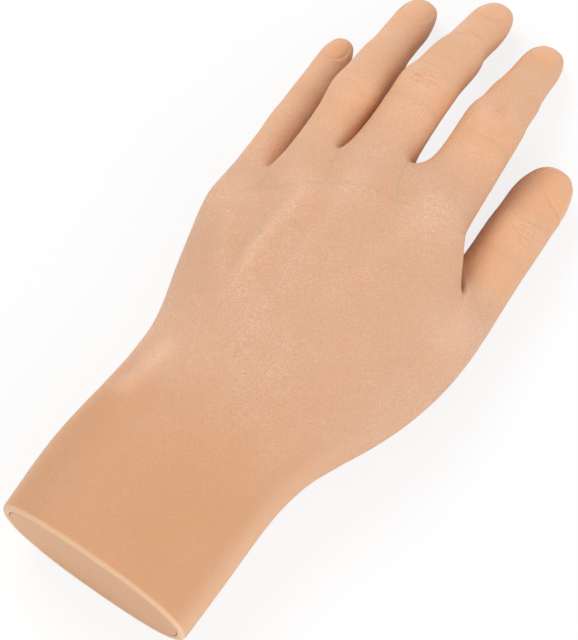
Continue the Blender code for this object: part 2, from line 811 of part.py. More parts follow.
def build_palm(digits, thumb):
    """Build the palm skin, knuckle web, thumb base band, frame, plug and knuckle pins."""
    form = body_form(digits, thumb)
    floor = box("cut", Matrix.Identity(4), (-200.0, -50.0, -40.0), (200.0, 400.0, 0.0))
    combine(form, floor, "DIFFERENCE")
    combine(form, oval_plate("cut", RIM_WALL, -5.0, PLUG_DEPTH), "DIFFERENCE")
    arms = [digits[n] for n in FINGER_ORDER] + [thumb]
    combine(form, frame_solid("cut", digits, thumb, BORE_PLAY), "DIFFERENCE")
    for digit in arms:
        bore = bar("cut", digit, 0, 0.0, digit.spec["bones"][0], BORE_PLAY)
        combine(form, bore, "DIFFERENCE")
    palm = copy_of(form, "palm_skin")
    combine(palm, knuckle_zone("cut", digits, -KNUCKLE_CUT_BACK - SECTION_GAP), "DIFFERENCE")
    combine(palm, thumb_zone("cut", thumb, -KNUCKLE_CUT_BACK - SECTION_GAP, 0.0), "DIFFERENCE")
    web = copy_of(form, "knuckle_web")
    combine(web, knuckle_zone("cut", digits, -KNUCKLE_CUT_BACK + SECTION_GAP), "INTERSECT")
    band = copy_of(form, "thumb_mcp_band")
    inset = 2.0 * SECTION_GAP
    combine(band, thumb_zone("cut", thumb, -KNUCKLE_CUT_BACK + SECTION_GAP, inset), "INTERSECT")
    combine(band, knuckle_zone("cut", digits, -KNUCKLE_CUT_BACK - SECTION_GAP), "DIFFERENCE")
    finish(palm, "skin", (0.0, 0.0, 0.0))
    finish(web, "skin", digits["middle"].points[0])
    finish(band, "skin", thumb.points[0])
    bpy.data.objects.remove(form, do_unlink=True)
    finish(palm_frame("palm_frame", digits, thumb), "bone", (0.0, HUB_Y, HUB_Z))
    plug = oval_plate("wrist_plug", RIM_WALL + BORE_PLAY, PLUG_RECESS, PLUG_DEPTH - BORE_PLAY)
    side = STEM_HALF_WIDTH + BORE_PLAY
    tall = STEM_HALF_HEIGHT + BORE_PLAY
    low = (-side, STEM_START - BORE_PLAY, HUB_Z - tall)
    high = (side, PLUG_DEPTH + 5.0, HUB_Z + tall)
    combine(plug, box("cut", Matrix.Identity(4), low, high), "DIFFERENCE")
    finish(plug, "plug", (0.0, 0.0, HUB_Z))
    for name in FINGER_ORDER:
        finish(pin(name + "_mcp_pin", digits[name], 0), "pin", digits[name].points[0])
    finish(pin("thumb_mcp_pin", thumb, 0), "pin", thumb.points[0])


def place_all():
    """Hang every piece from one empty so the model stands centred on the floor."""
    bpy.context.view_layer.update()
    corners = [p.matrix_world @ v.co for p in PIECES for v in p.data.vertices]
    low = [min(c[i] for c in corners) for i in range(3)]
    high = [max(c[i] for c in corners) for i in range(3)]
    holder = bpy.data.objects.new("hand", None)
    bpy.context.scene.collection.objects.link(holder)
    for piece in PIECES:
        piece.parent = holder
    holder.location = (-0.5 * (low[0] + high[0]), -0.5 * (low[1] + high[1]), -low[2])
    bpy.context.view_layer.update()


def main():
    """Build the whole hand."""
    clear_scene()
    digits = {name: Digit(FINGERS[name]) for name in FINGER_ORDER}
    thumb = Digit(THUMB)
    build_palm(digits, thumb)
    for name in FINGER_ORDER:
        build_digit(name, digits[name], (MIDDLE_TRAVEL, END_TRAVEL))
    build_digit("thumb", thumb, (THUMB_END_TRAVEL,))
    place_all()


main()
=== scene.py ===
"""Looks of a life-size silicone hand: skin, wrist plug, skeleton finish and a studio stage."""

import json
import math

import bmesh
import bpy
import numpy as np
from mathutils import Matrix, Vector


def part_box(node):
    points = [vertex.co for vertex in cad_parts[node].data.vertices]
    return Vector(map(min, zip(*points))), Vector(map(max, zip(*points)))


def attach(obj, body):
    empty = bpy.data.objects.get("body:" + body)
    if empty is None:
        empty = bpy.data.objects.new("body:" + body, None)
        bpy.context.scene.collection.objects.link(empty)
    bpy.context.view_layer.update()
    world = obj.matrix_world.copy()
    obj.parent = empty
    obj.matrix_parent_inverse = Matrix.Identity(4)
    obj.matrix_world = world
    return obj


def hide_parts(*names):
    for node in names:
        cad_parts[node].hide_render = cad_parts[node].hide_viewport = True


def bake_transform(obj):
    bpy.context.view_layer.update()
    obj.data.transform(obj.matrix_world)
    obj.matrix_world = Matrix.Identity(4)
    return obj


bl_info = {
    "name": "Silicone Display Hand",
    "version": (1, 0, 0),
    "blender": (4, 5, 0),
    "location": "View3D > Sidebar > Hand",
    "description": "Dresses the packed hand with a cast silicone skin and a plain studio stage",
    "category": "Object",
}

MM = 0.001
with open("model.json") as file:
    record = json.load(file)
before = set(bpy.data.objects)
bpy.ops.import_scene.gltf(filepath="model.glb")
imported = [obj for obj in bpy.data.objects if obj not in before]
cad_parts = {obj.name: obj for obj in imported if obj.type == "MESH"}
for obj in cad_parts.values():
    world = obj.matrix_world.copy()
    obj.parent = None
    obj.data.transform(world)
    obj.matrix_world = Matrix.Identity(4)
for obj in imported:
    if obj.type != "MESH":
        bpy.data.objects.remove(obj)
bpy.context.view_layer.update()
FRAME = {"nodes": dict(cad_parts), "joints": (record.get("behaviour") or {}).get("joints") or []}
PALM_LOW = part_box("palm_skin")[0]
PLUG_LOW, PLUG_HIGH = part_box("wrist_plug")
WRIST = Vector((0.5 * (PLUG_LOW[0] + PLUG_HIGH[0]), PALM_LOW[1], 0.0))
JOINTS = {joint["name"]: joint for joint in FRAME["joints"]}
LENGTH = {"subtype": "DISTANCE", "unit": "LENGTH"}
ANGLE = {"subtype": "ANGLE", "unit": "ROTATION"}
# Points of the cage round a digit and round the palm, and what smoothing takes off their size
DIGIT_POINTS = 8
PALM_POINTS = 20
OCTAGON_LIMIT = 6.0 / (4.0 + 2.0 * math.cos(math.radians(45.0)))
PALM_LIMIT = 1.016
COARSE_DETAIL = 3

FINGER_PARTS = dict(hinges=("mcp", "pip", "dip"), bodies=("proximal", "middle", "distal"))
# Section sizes in millimetres: base, shaft, middle hinge, shaft, end hinge, pad, tip
DIGITS = {
    "little": dict(
        start=21.0, end_length=21.0, end_bend=-1.0,
        width=(6.8, 6.1, 6.2, 5.8, 5.5, 5.3, 4.2),
        rise=(7.0, 6.0, 6.3, 5.2, 5.0, 4.4, 3.0),
        drop=(8.2, 7.4, 7.2, 6.5, 6.0, 5.8, 4.0),
        knuckle=1.2, roll=-8.0, crease=0.8, blotch=0.0,
    ),
    "ring": dict(
        start=22.0, end_length=27.0, end_bend=-1.0,
        width=(8.1, 7.5, 8.2, 7.6, 6.7, 6.6, 5.4),
        rise=(8.0, 6.9, 7.5, 6.0, 5.7, 5.0, 3.4),
        drop=(9.5, 8.6, 8.3, 7.5, 6.9, 6.7, 4.6),
        knuckle=1.1, roll=-4.0, crease=1.0, blotch=0.0,
    ),
    "middle": dict(
        start=24.0, end_length=25.0, end_bend=0.0,
        width=(9.6, 9.2, 9.4, 8.4, 7.0, 6.9, 5.6),
        rise=(8.4, 7.3, 7.9, 6.3, 6.0, 5.2, 3.5),
        drop=(10.0, 9.1, 8.7, 9.0, 7.4, 7.2, 4.8),
        knuckle=1.2, roll=0.0, crease=1.9, blotch=0.2,
    ),
    "index": dict(
        start=20.0, end_length=25.0, end_bend=-1.0,
        width=(10.2, 9.7, 9.6, 8.4, 7.4, 7.0, 5.6),
        rise=(8.3, 7.2, 7.8, 6.2, 5.9, 5.1, 3.4),
        drop=(9.8, 8.9, 8.6, 9.0, 7.4, 7.1, 4.7),
        knuckle=1.1, roll=4.0, crease=0.9, blotch=0.6,
    ),
    "thumb": dict(
        hinges=("mcp", "ip"),
        bodies=("proximal", "distal"),
        start=12.0, end_length=29.0, end_bend=10.0,
        width=(10.2, 9.4, 9.5, 9.1, 6.5),
        rise=(9.4, 8.2, 8.3, 6.4, 4.0),
        drop=(10.4, 9.4, 8.8, 7.6, 4.6),
        knuckle=0.8, roll=66.0, crease=1.3, blotch=0.0,
    ),
}
FINGERS = ("little", "ring", "middle", "index")
# Cage rings of a digit: shares of blending, and reach of a hinge
ROOT_BLEND = 0.4
HINGE_BLEND = 0.75
MAIN_REACH = 8.0
END_REACH = 6.0
NEAR_HINGE = 0.45
# Rings of the end: share of its length, shift, blend from pad to tip, scale
TIP_RINGS = ((0.56, 0.0, 0.0, 1.0), (0.76, 0.0, 0.42, 1.0), (1.0, -2.4, 1.0, 1.0), (1.0, 1.0, 1.0, 0.62))

# Palm sections: left and right edge, top, bottom, squareness
STATIONS = (
    ((-32.5, 0.0), (32.3, 0.0), 41.0, -1.2, 2.35),
    ((-34.1, 28.0), (32.5, 28.0), 41.5, -1.0, 2.35),
    ((-29.4, 56.0), (32.2, 57.0), 41.5, 2.0, 2.4),
    ((-30.0, 73.0), (45.8, 79.5), 42.5, -1.4, 2.4),
    ((-35.4, 88.0), (45.0, 101.0), 43.5, -1.6, 2.4),
    ((-38.2, 101.0), (37.0, 129.5), 43.5, 4.0, 2.4),
)
THUMB_ROOT_CENTRE = (43.4, 116.0, 16.5)
THUMB_ROOT_TURN = 44.0
THUMB_ROOT_SIZE = (12.4, 11.0, 12.0)
# Moves of cage points that shape the web of the thumb: ring, point, shift
THUMB_WEB_SHIFTS = (
    (4, 8, (0.6, 3.2, 0.0)),
    (5, 7, (2.4, 3.6, 0.0)),
    (5, 8, (1.6, 8.6, 0.0)),
    (6, 8, (4.2, 4.0, 0.0)),
)
THUMB_ROOT_SHIFTS = ((0, (3.0, 5.2, 0.6)), (7, (5.0, 10.4, 5.4)))
THUMB_COLLAR_SHIFTS = ((0, (1.6, 3.2, 1.0)), (7, (4.6, 7.2, 5.0)))
THUMB_COLLAR_PLACE = 5.0
# Where the thumb leaves the palm: ring and point of the cage, and its neighbours
THUMB_MIDDLE = (4, 9)
THUMB_ROOT = ((4, 8), (3, 8), (3, 9), (3, 10), (4, 10), (5, 10), (5, 9), (5, 8))
# Webs between the fingers, and the shifts of their points on the back, in the middle and below
WEBS = ((-27.4, 130.0, 27.0), (-12.6, 147.0, 29.5), (6.0, 156.0, 29.0))
WEB_SHIFTS = ((-2.4, -4.6, 9.8), (-0.6, -2.6, 0.0), (0.0, -1.0, -8.5))
WALL_INSET = 0.3
COLLAR_BACK = 8.0
INDEX_COLLAR_BACK = 4.0
# Finger that owns each column of the skin between knuckles and webs
ROOT_COLUMNS = (0, 0, 1, 1, 2, 2, 3, 3, 3, 3, 3, 3, 2, 2, 1, 1, 0, 0, 0, 0)
BEND_LENGTH = 15.0
LAST_BEND = 6.0
# Row of the finger knuckles: heights for a finger of the given half width, and its two ends
KNUCKLE_RING = len(STATIONS)
KNUCKLE_WIDTH = 9.2
KNUCKLE_RISE = 11.0
KNUCKLE_DROP = 13.5
KNUCKLE_VALLEY = 2.0
KNUCKLE_ENDS = {
    "little": dict(sign=-1.0, side=2.2, inset=0.25, rise=6.5, drop=8.5, back=0.0),
    "index": dict(sign=1.0, side=1.0, inset=0.22, rise=7.5, drop=10.0, back=2.0),
}
# Knuckle bumps and the hollows between them
KNUCKLE_LIFT = 1.3
HOLLOW_PLACE = 5.0
HOLLOW_DEPTH = 1.0
# Tendons on the back: start, guide and end point in plan, and weight
TENDONS = (
    ((-11.4, 132.5), (-19.5, 106.0), (-12.0, 78.0), 1.3),
    ((-31.0, 112.0), (-25.0, 98.0), (-16.0, 80.0), 0.5),
    ((-3.0, 136.0), (-5.0, 112.0), (0.0, 84.0), 0.45),
    ((20.0, 140.0), (15.0, 118.0), (9.0, 92.0), 0.45),
)
# Start of a digit's skin on its first bone
ROOT_SKIP = 8.0
# Creases over a hinge: places along the digit in millimetres
MAIN_CREASES = (-4.4, -2.9, -2.1, -0.9, 0.1, 1.5, 2.6, 4.1)
END_CREASES = (-2.3, -1.0, 0.2, 1.7)
PALM_SIDE_CREASES = (-0.7, 0.8)
CREASE_SEED = 7
CREASE_WIDTH = 0.3
CREASE_SHADE = 0.24
CREASE_ROLL_LIMIT = 20.0
END_CREASE_SHARE = 0.7
# Nail: start and half width as shares, distance from the tip, roundness of the outline
NAIL_START = 0.45
NAIL_SPREAD = 0.68
NAIL_TIP = 1.6
NAIL_ROUND = 2.3
PAD_HEIGHT = 0.5
# Warm colour of a digit, partly its own tint and partly painted light as seen through thin silicone, in
# lengths from its knuckle to the web
WARM_START = 0.4
WARM_END = 1.5
# Wrist bone, web of the thumb and hollow of the wrist: place in plan, width, amounts
SPOTS = (
    ((-21.0, 62.0), 7.5, {"lift": 1.1}),
    ((-21.0, 62.0), 8.0, {"blush": 0.5}),
    ((46.0, 117.0), 7.0, {"blush": 0.7}),
    # Hollow of the wrist, sunk and with painted shade in it
    ((-16.5, 47.0), 5.0, {"lift": -0.7, "shade": 0.4}),
)
# Paths in plan: start, guide and end point
PATH_STEPS = 12
WRIST_RIDGE = ((-26.0, 42.0), (-17.5, 53.0), (-19.0, 70.0))
WRIST_TENDON = ((-9.0, 72.0), (-7.0, 58.0), (-10.0, 36.0))
PALM_LINES = (
    ((-38.0, 106.0), (-12.0, 112.0), (4.0, 130.0)),
    ((32.0, 116.0), (8.0, 106.0), (-22.0, 90.0)),
    ((32.0, 118.0), (0.0, 108.0), (8.0, 70.0)),
)
WRIST_FOLDS = (54.0, 59.0)
# Strength of the painted shade on the sides of fingers and palm, and of the painted light on the forearm
# flanks
FINGER_SIDE_SHADE = 0.55
PALM_SIDE_SHADE = 0.25
PAINTED_FLANK_LIGHT = 0.3
FLOOR_GAP = 0.2
RELIEF_SCALE = 160.0
# Tints of the skin, in the order they are laid on, and their strength; among them are painted shade, a
# painted highlight on the cut rim with painted light on the forearm flanks, and painted highlights on
# ridges
TINTS = {"warm": 0.85, "tan": 0.85, "blush": 0.75, "shade": 0.8, "nail": 0.2, "rim": 0.75}
# Nets of fine skin lines: turn and scale, and their stretch
LINE_NETS = ((0.3, 1650.0), (-0.35, 2100.0))
LINE_STRETCH = (0.36, 1.0, 0.7)
# Rounded rim of the wrist cut and the plug in it: distance from the end face, inset from the outline
RIM = ((7.0, 2.55), (0.6, 2.55), (0.12, 2.52), (0.0, 2.2), (0.05, 1.0), (0.5, 0.2), (1.3, 0.0), (4.0, 0.0))
PLUG_RINGS = ((0.1, 18.5), (0.1, 12.0), (0.1, 5.0), (0.1, 2.9), (0.18, 2.62), (6.0, 2.62))
# Stage: place and size of the lights in metres, point that the camera looks at in millimetres
LIGHTS = {"key": ((-0.63, 0.27, 0.95), 0.6), "fill": ((0.9, -0.35, 0.62), 0.9)}
LIGHT_TARGET = (0.0, 0.0, 0.02)
CAMERA_TARGET = (6.7, 88.6, 44.5)
CLIP_START = 0.01
SENSOR_WIDTH = 36.0
FLOOR_SIZE = 4.0


def tint(name, text, default):
    """Colour for the panel."""
    return bpy.props.FloatVectorProperty(
        name=name, description=text, default=default, subtype="COLOR", size=3
    )


def dial(name, text, default, **limits):
    """Number for the panel."""
    return bpy.props.FloatProperty(name=name, description=text, default=default, **limits)


class SkinSettings(bpy.types.PropertyGroup):
    """Sizes and colours of the silicone skin."""

    detail: bpy.props.IntProperty(
        name="Detail", description="Rounds of subdivision of the skin", default=4, min=1, max=5
    )
    crease_depth: dial("Crease Depth", "Depth of the creases in millimetres", 0.22, min=0.0, max=1.0)
    tendon_height: dial("Tendon Height", "Height of the tendons in millimetres", 1.5, min=0.0, max=2.0)
    nail_groove: dial("Nail Groove", "Depth round each nail in millimetres", 0.2, min=0.0, max=1.0)
    relief: dial("Cast Relief", "Unevenness of the casting", 0.00022, min=0.0, max=0.002, **LENGTH)
    flesh: tint("Flesh", "Main colour", (0.70, 0.398, 0.245))
    # Warmer colour of the fingers: partly their own tint, partly painted light as seen through thin
    # silicone
    warm: tint("Warm", "Colour of the fingers", (0.80, 0.43, 0.235))
    tan: tint("Tan", "Colour of the forearm", (0.63, 0.323, 0.162))
    # Painted highlight along the edge of the wrist cut, also used as painted light on the forearm flanks
    rim: tint("Rim", "Colour of the cut rim", (0.93, 0.63, 0.39))
    dry: tint("Dry", "Colour of the fine pale lines", (0.95, 0.74, 0.59))
    # Paler over knuckles, hinges, the wrist bone and the thumb web, and a painted highlight along the
    # tendon crests and the wrist ridge
    blush: tint("Blush", "Colour of knuckles and ridges", (0.80, 0.49, 0.325))
    # Painted shade in creases, folds and hollows, beside the tendons and on the sides that turn away from
    # the top
    shade: tint("Shade", "Colour in creases and at the sides", (0.69, 0.315, 0.14))
    nail: tint("Nail", "Colour of the nails", (0.86, 0.48, 0.29))


class InsideSettings(bpy.types.PropertyGroup):
    """Colours of the plug and the skeleton."""

    plug: tint("Plug", "Face of the wrist plug", (0.83, 0.46, 0.255))
    bone: tint("Bone", "Moulded bones", (0.78, 0.77, 0.72))
    pin: tint("Pin", "Hinge pins", (0.60, 0.60, 0.61))


class StageSettings(bpy.types.PropertyGroup):
    """Light, floor and camera."""

    floor: tint("Floor", "Colour of the floor", (0.93, 0.93, 0.93))
    floor_white: dial("Floor White", "Share of the floor that shows as white", 0.82, min=0.0, max=1.0)
    key_power: dial("Key Power", "Power of the left softbox", 5.7, min=0.0, unit="POWER")
    fill_power: dial("Fill Power", "Power of the right softbox", 5.5, min=0.0, unit="POWER")
    surround: dial("Surround", "Strength of the even light from all sides", 0.6, min=0.0)
    azimuth: dial("Azimuth", "Heading of the camera", math.radians(35.0), **ANGLE)
    elevation: dial("Elevation", "Height of the camera", math.radians(68.0), **ANGLE)
    distance: dial("Distance", "Distance of the camera", 0.668, **LENGTH)
    lens: dial("Lens", "Focal length in millimetres", 130.8)


def row(point):
    """Turn a point in millimetres from the wrist cut into the row frame."""
    return Vector(point) * MM + WRIST


def mix_sizes(first, second, share):
    """Blend two section sizes."""
    return [a + (b - a) * share for a, b in zip(first, second)]


def rotate_about(vector, axis, degrees):
    """Turn a vector about an axis."""
    return Matrix.Rotation(math.radians(degrees), 3, axis) @ vector


class Digit:
    """Hinge points, directions and section sizes of one finger or the thumb, in the row frame."""

    def __init__(self, name):
        for key, value in {**FINGER_PARTS, **DIGITS[name]}.items():
            setattr(self, key, value)
        self.hinges = [name + "_" + hinge for hinge in self.hinges]
        self.bodies = ["palm"] + [name + "_" + body for body in self.bodies]
        joints = [JOINTS[hinge] for hinge in self.hinges]
        self.points = [Vector(joint["pos_m"]) for joint in joints]
        self.hinge = -Vector(joints[0]["axis"]).normalized()
        spans = [far - near for near, far in zip(self.points[:-1], self.points[1:])]
        self.along = [span.normalized() for span in spans]
        self.along.append(rotate_about(self.along[-1], self.hinge, -self.end_bend))
        self.lengths = [span.length / MM for span in spans] + [self.end_length]
        self.sizes = list(zip(self.width, self.rise, self.drop))

    def bend(self, joint):
        """Bend at a hinge as moulded, in degrees."""
        near = self.along[joint - 1]
        far = self.along[joint]
        curled = near.cross(far).dot(self.hinge) < 0.0
        return math.degrees(near.angle(far)) * (1.0 if curled else -1.0)

    def at(self, bone, distance):
        """Point on a bone's axis, with the distance in millimetres."""
        return self.points[bone] + self.along[bone] * distance * MM

    def frame(self, bone, distance=0.0, tilt=0.0):
        """Section frame: x hinge, y along, z back of the digit, scaled to millimetres."""
        along = rotate_about(self.along[bone], self.hinge, tilt)
        up = self.hinge.cross(along)
        place = self.at(bone, distance)
        rows = [(self.hinge[i] * MM, along[i] * MM, up[i] * MM, place[i]) for i in range(3)]
        return Matrix(rows + [(0.0, 0.0, 0.0, 1.0)])

    def sections(self):
        """Frames and sizes of the sections, with the piece that each ring starts."""
        sizes = self.sizes
        last = len(self.lengths) - 1
        yield self.frame(0, self.start), mix_sizes(sizes[1], sizes[0], ROOT_BLEND), 0
        for joint in range(1, last + 1):
            knuckle = sizes[2 * joint]
            reach = MAIN_REACH if joint == 1 else END_REACH
            length = self.lengths[joint - 1]
            before = sizes[2 * joint - 1]
            after = sizes[2 * joint + 1]
            near, beyond = (mix_sizes(size, knuckle, HINGE_BLEND) for size in (before, after))
            yield self.frame(joint - 1, length - reach), before, joint
            yield self.frame(joint - 1, length - NEAR_HINGE * reach), near, joint
            yield self.frame(joint, 0.0, 0.5 * self.bend(joint)), knuckle, joint
            yield self.frame(joint, NEAR_HINGE * reach), beyond, joint
            yield self.frame(joint, reach), after, joint
        for share, shift, blend, scale in TIP_RINGS:
            size = [scale * v for v in mix_sizes(sizes[-2], sizes[-1], blend)]
            yield self.frame(last, share * self.lengths[last] + shift), size, last


def digit_ring(place, size):
    """Cage points of a digit section, from the back round the thumb side."""
    width, rise, drop = size
    points = []
    for step in range(DIGIT_POINTS):
        angle = math.radians(90.0 - 360.0 / DIGIT_POINTS * step)
        height = rise if math.sin(angle) > 0.0 else drop
        point = Vector((width * math.cos(angle), 0.0, height * math.sin(angle))) * OCTAGON_LIMIT
        points.append(place @ point)
    return points


def palm_ring(station, inset=0.0):
    """Cage points of a palm section: back row, thumb side, palm row, little side."""
    left, right, top, bottom, square = station
    centre = 0.5 * (Vector(left) + Vector(right))
    half = 0.5 * (Vector(right) - Vector(left))
    half = half * (1.0 - inset / half.length)
    middle = 0.5 * (top + bottom)
    height = 0.5 * (top - bottom) - inset
    points = []
    for step in range(PALM_POINTS):
        angle = math.radians(180.0 - 360.0 / PALM_POINTS * (step + 1))
        sides = (math.cos(angle), math.sin(angle))
        u, v = (math.copysign(abs(s) ** (2.0 / square), s) * PALM_LIMIT for s in sides)
        flat = centre + half * u
        points.append(row((flat.x, flat.y, middle + height * v)))
    return points


def knuckle_end(digit, sign, side, inset, rise, drop, back):
    """Cage points at one end of the knuckles: back, side and palm."""
    base = digit.points[0]
    outer = base + digit.hinge * sign * (digit.width[0] + side) * MM
    edge = outer * (1.0 - inset) + base * inset
    shifts = ((edge, rise), (outer, 0.0), (edge, -drop))
    return [point + Vector((0.0, -back, height)) * MM for point, height in shifts]


def knuckle_ring(digits):
    """Cage points across the four finger knuckles."""
    ends = {name: knuckle_end(digits[name], **sizes) for name, sizes in KNUCKLE_ENDS.items()}
    back = []
    under = []
    for name in FINGERS:
        digit = digits[name]
        lift = digit.hinge.cross(digit.along[0])
        size = digit.width[0] / KNUCKLE_WIDTH
        back.append(digit.points[0] + lift * KNUCKLE_RISE * size * MM)
        under.append(digit.points[0] - lift * KNUCKLE_DROP * size * MM)
    valley = Vector((0.0, 0.0, KNUCKLE_VALLEY)) * MM
    back_row = [ends["little"][0], back[0]]
    under_row = [ends["little"][2], under[0]]
    for i in range(1, len(FINGERS)):
        back_row += [0.5 * (back[i - 1] + back[i]) - valley, back[i]]
        under_row += [0.5 * (under[i - 1] + under[i]), under[i]]
    return back_row + ends["index"] + under_row[::-1] + [ends["little"][1]]


class Cage:
    """Control cage of the skin or the plug, with a piece number on every face."""

    def __init__(self):
        self.bm = bmesh.new()
        self.pieces = ["palm"]

    def ring(self, points):
        """Add points."""
        return [self.bm.verts.new(point) for point in points]

    def face(self, verts, piece="palm"):
        """Add a face of one piece."""
        if piece not in self.pieces:
            self.pieces.append(piece)
        self.bm.faces.new(verts).material_index = self.pieces.index(piece)

    def loft(self, lower, upper, piece="palm"):
        """Join two rings."""
        count = len(lower)
        for i in range(count):
            j = (i + 1) % count
            self.face((lower[i], lower[j], upper[j], upper[i]), piece)

    def end_rings(self, profile):
        """Add and join rings at the wrist cut, each with its distance and inset."""
        rings = []
        for distance, inset in profile:
            points = palm_ring(STATIONS[0], inset)
            rings.append(self.ring(p + Vector((0.0, distance * MM, 0.0)) for p in points))
        for lower, upper in zip(rings[:-1], rings[1:]):
            self.loft(lower, upper)
        return rings

    def digit(self, digit, collar):
        """Add the tube of a digit from its collar to its tip."""
        lower = collar
        owner = 0
        for place, size, joint in digit.sections():
            upper = self.ring(digit_ring(place, size))
            self.loft(lower, upper, digit.hinges[owner])
            lower = upper
            owner = joint
        self.face(lower, digit.hinges[-1])


def hand_cage(digits):
    """Build the cage of palm, webs, fingers and thumb."""
    cage = Cage()
    rings = cage.end_rings(RIM)
    rings = [rings[-1]] + [cage.ring(palm_ring(station)) for station in STATIONS[1:]]
    rings.append(cage.ring(knuckle_ring(digits)))
    for r, i, shift in THUMB_WEB_SHIFTS:
        rings[r][i].co += Vector(shift) * MM
    webs = []
    for place in WEBS:
        spots = [[a + b for a, b in zip(place, shift)] for shift in WEB_SHIFTS]
        webs.append(cage.ring(map(row, spots)))
    collars = []
    for i, name in enumerate(FINGERS):
        digit = digits[name]
        shape = digit_ring(digit.frame(0, digit.start - COLLAR_BACK), digit.sizes[0])
        ring = cage.ring(shape[:1])
        if i < len(webs):
            ring += webs[i]
        else:
            ring += cage.ring(p - Vector((0.0, INDEX_COLLAR_BACK * MM, 0.0)) for p in shape[1:4])
        ring += cage.ring(shape[4:5])
        if i > 0:
            ring += webs[i - 1][::-1]
        else:
            ring += cage.ring(shape[5:8])
        collars.append(ring)
    web = [collars[0][7]]
    for collar in collars:
        web += collar[:2]
    web += collars[-1][2:4]
    for collar in collars[::-1]:
        web += collar[4:6]
    web.append(collars[0][6])
    rings.append(web)
    ring, point = THUMB_MIDDLE
    middle = rings[ring][point]
    for r in range(len(rings) - 1):
        for i in range(PALM_POINTS):
            j = (i + 1) % PALM_POINTS
            corners = (rings[r][i], rings[r][j], rings[r + 1][j], rings[r + 1][i])
            piece = "palm" if r < KNUCKLE_RING else FINGERS[ROOT_COLUMNS[i]] + "_mcp"
            if middle not in corners:
                cage.face(corners, piece)
    cage.bm.verts.remove(middle)
    for name, ring in zip(FINGERS, collars):
        cage.digit(digits[name], ring)
    root = [rings[r][i] for r, i in THUMB_ROOT]
    thumb = digits["thumb"]
    turn = Matrix.Rotation(math.radians(-THUMB_ROOT_TURN), 4, "Z")
    place = Matrix.Translation(row(THUMB_ROOT_CENTRE)) @ turn @ Matrix.Scale(MM, 4)
    inner = cage.ring(digit_ring(place, THUMB_ROOT_SIZE))
    collar = cage.ring(digit_ring(thumb.frame(0, THUMB_COLLAR_PLACE), thumb.sizes[0]))
    for ring, shifts in ((inner, THUMB_ROOT_SHIFTS), (collar, THUMB_COLLAR_SHIFTS)):
        for i, shift in shifts:
            ring[i].co += Vector(shift) * MM
    cage.loft(root, inner)
    cage.loft(inner, collar)
    cage.digit(thumb, collar)
    return cage


def hill(value, width):
    """Smooth bell of unit height."""
    return np.exp(-0.5 * np.square(value / width))


def ramp(value, low, high):
    """Smooth step from 0 to 1."""
    t = np.clip((value - low) / (high - low), 0.0, 1.0)
    return t * t * (3.0 - 2.0 * t)


def read(items, name, kind=np.float32, size=1):
    """Values of all items of a mesh, with one row of the given size for each."""
    values = np.empty(len(items) * size, kind)
    items.foreach_get(name, values)
    return values.reshape(-1, size) if size > 1 else values


class Surface:
    """Points and normals of the subdivided skin, with sculpting moves along the normal."""

    def __init__(self, mesh):
        self.points = read(mesh.vertices, "co", size=3).astype(float)
        self.normals = read(mesh.vertex_normals, "vector", size=3).astype(float)
        self.plan = ((self.points - np.array(WRIST)) / MM)[:, :2]
        self.lift = np.zeros(len(self.points))
        for name in TINTS:
            setattr(self, name, np.zeros(len(self.points)))

    def upward(self, low, high):
        """How far each point faces up, from 0 to 1."""
        return ramp(self.normals[:, 2], low, high)

    def local(self, digit, bone, roll=0.0):
        """Coordinates on a bone in millimetres, and how far each point faces its back."""
        along = digit.along[bone]
        side = rotate_about(digit.hinge, along, roll)
        back = side.cross(along)
        offset = (self.points - np.array(digit.points[bone])) / MM
        x, y, z = (offset @ np.array(axis) for axis in (side, along, back))
        return x, y, z, self.normals @ np.array(back)

    def add(self, shape, **amounts):
        """Add a shape to the named layers, each by its own amount."""
        for name, amount in amounts.items():
            layer = getattr(self, name)
            layer += amount * shape


def nearest_digit(skin, digits):
    """Number of the digit whose bones are nearest to each point."""
    best = np.full(len(skin.points), np.inf)
    owner = np.full(len(skin.points), -1)
    for number, digit in enumerate(digits.values()):
        for bone, length in enumerate(digit.lengths):
            offset = (skin.points - np.array(digit.points[bone])) / MM
            along = np.array(digit.along[bone])
            t = np.clip(offset @ along, 0.0 if bone else ROOT_SKIP, length)
            gap = np.linalg.norm(offset - t[:, None] * along, axis=1)
            closer = gap < best
            best[closer] = gap[closer]
            owner[closer] = number
    return owner


def sculpt_knuckles(skin, digits):
    """Raise the finger knuckles and sink the hollows between them, with painted shade in the hollows."""
    for name in FINGERS:
        digit = digits[name]
        x, y, z, back = skin.local(digit, 0)
        facing = ramp(back, 0.25, 0.75)
        shape = hill(x, 5.6) * hill(y + 1.0, 6.5) * facing
        skin.lift += KNUCKLE_LIFT * digit.knuckle * shape
        skin.blush += 0.5 * hill(x, 5.0) * hill(y, 6.0) * facing
    facing = skin.upward(0.3, 0.8)
    for left, right in zip(FINGERS[:-1], FINGERS[1:]):
        middle = 0.5 * (digits[left].at(0, HOLLOW_PLACE) + digits[right].at(0, HOLLOW_PLACE))
        flat = np.linalg.norm(skin.points[:, :2] - np.array(middle)[:2], axis=1) / MM
        # Hollows between the knuckles are sunk and get painted shade
        skin.lift -= HOLLOW_DEPTH * hill(flat, 4.6) * facing
        skin.shade += 0.28 * hill(flat, 5.0) * facing


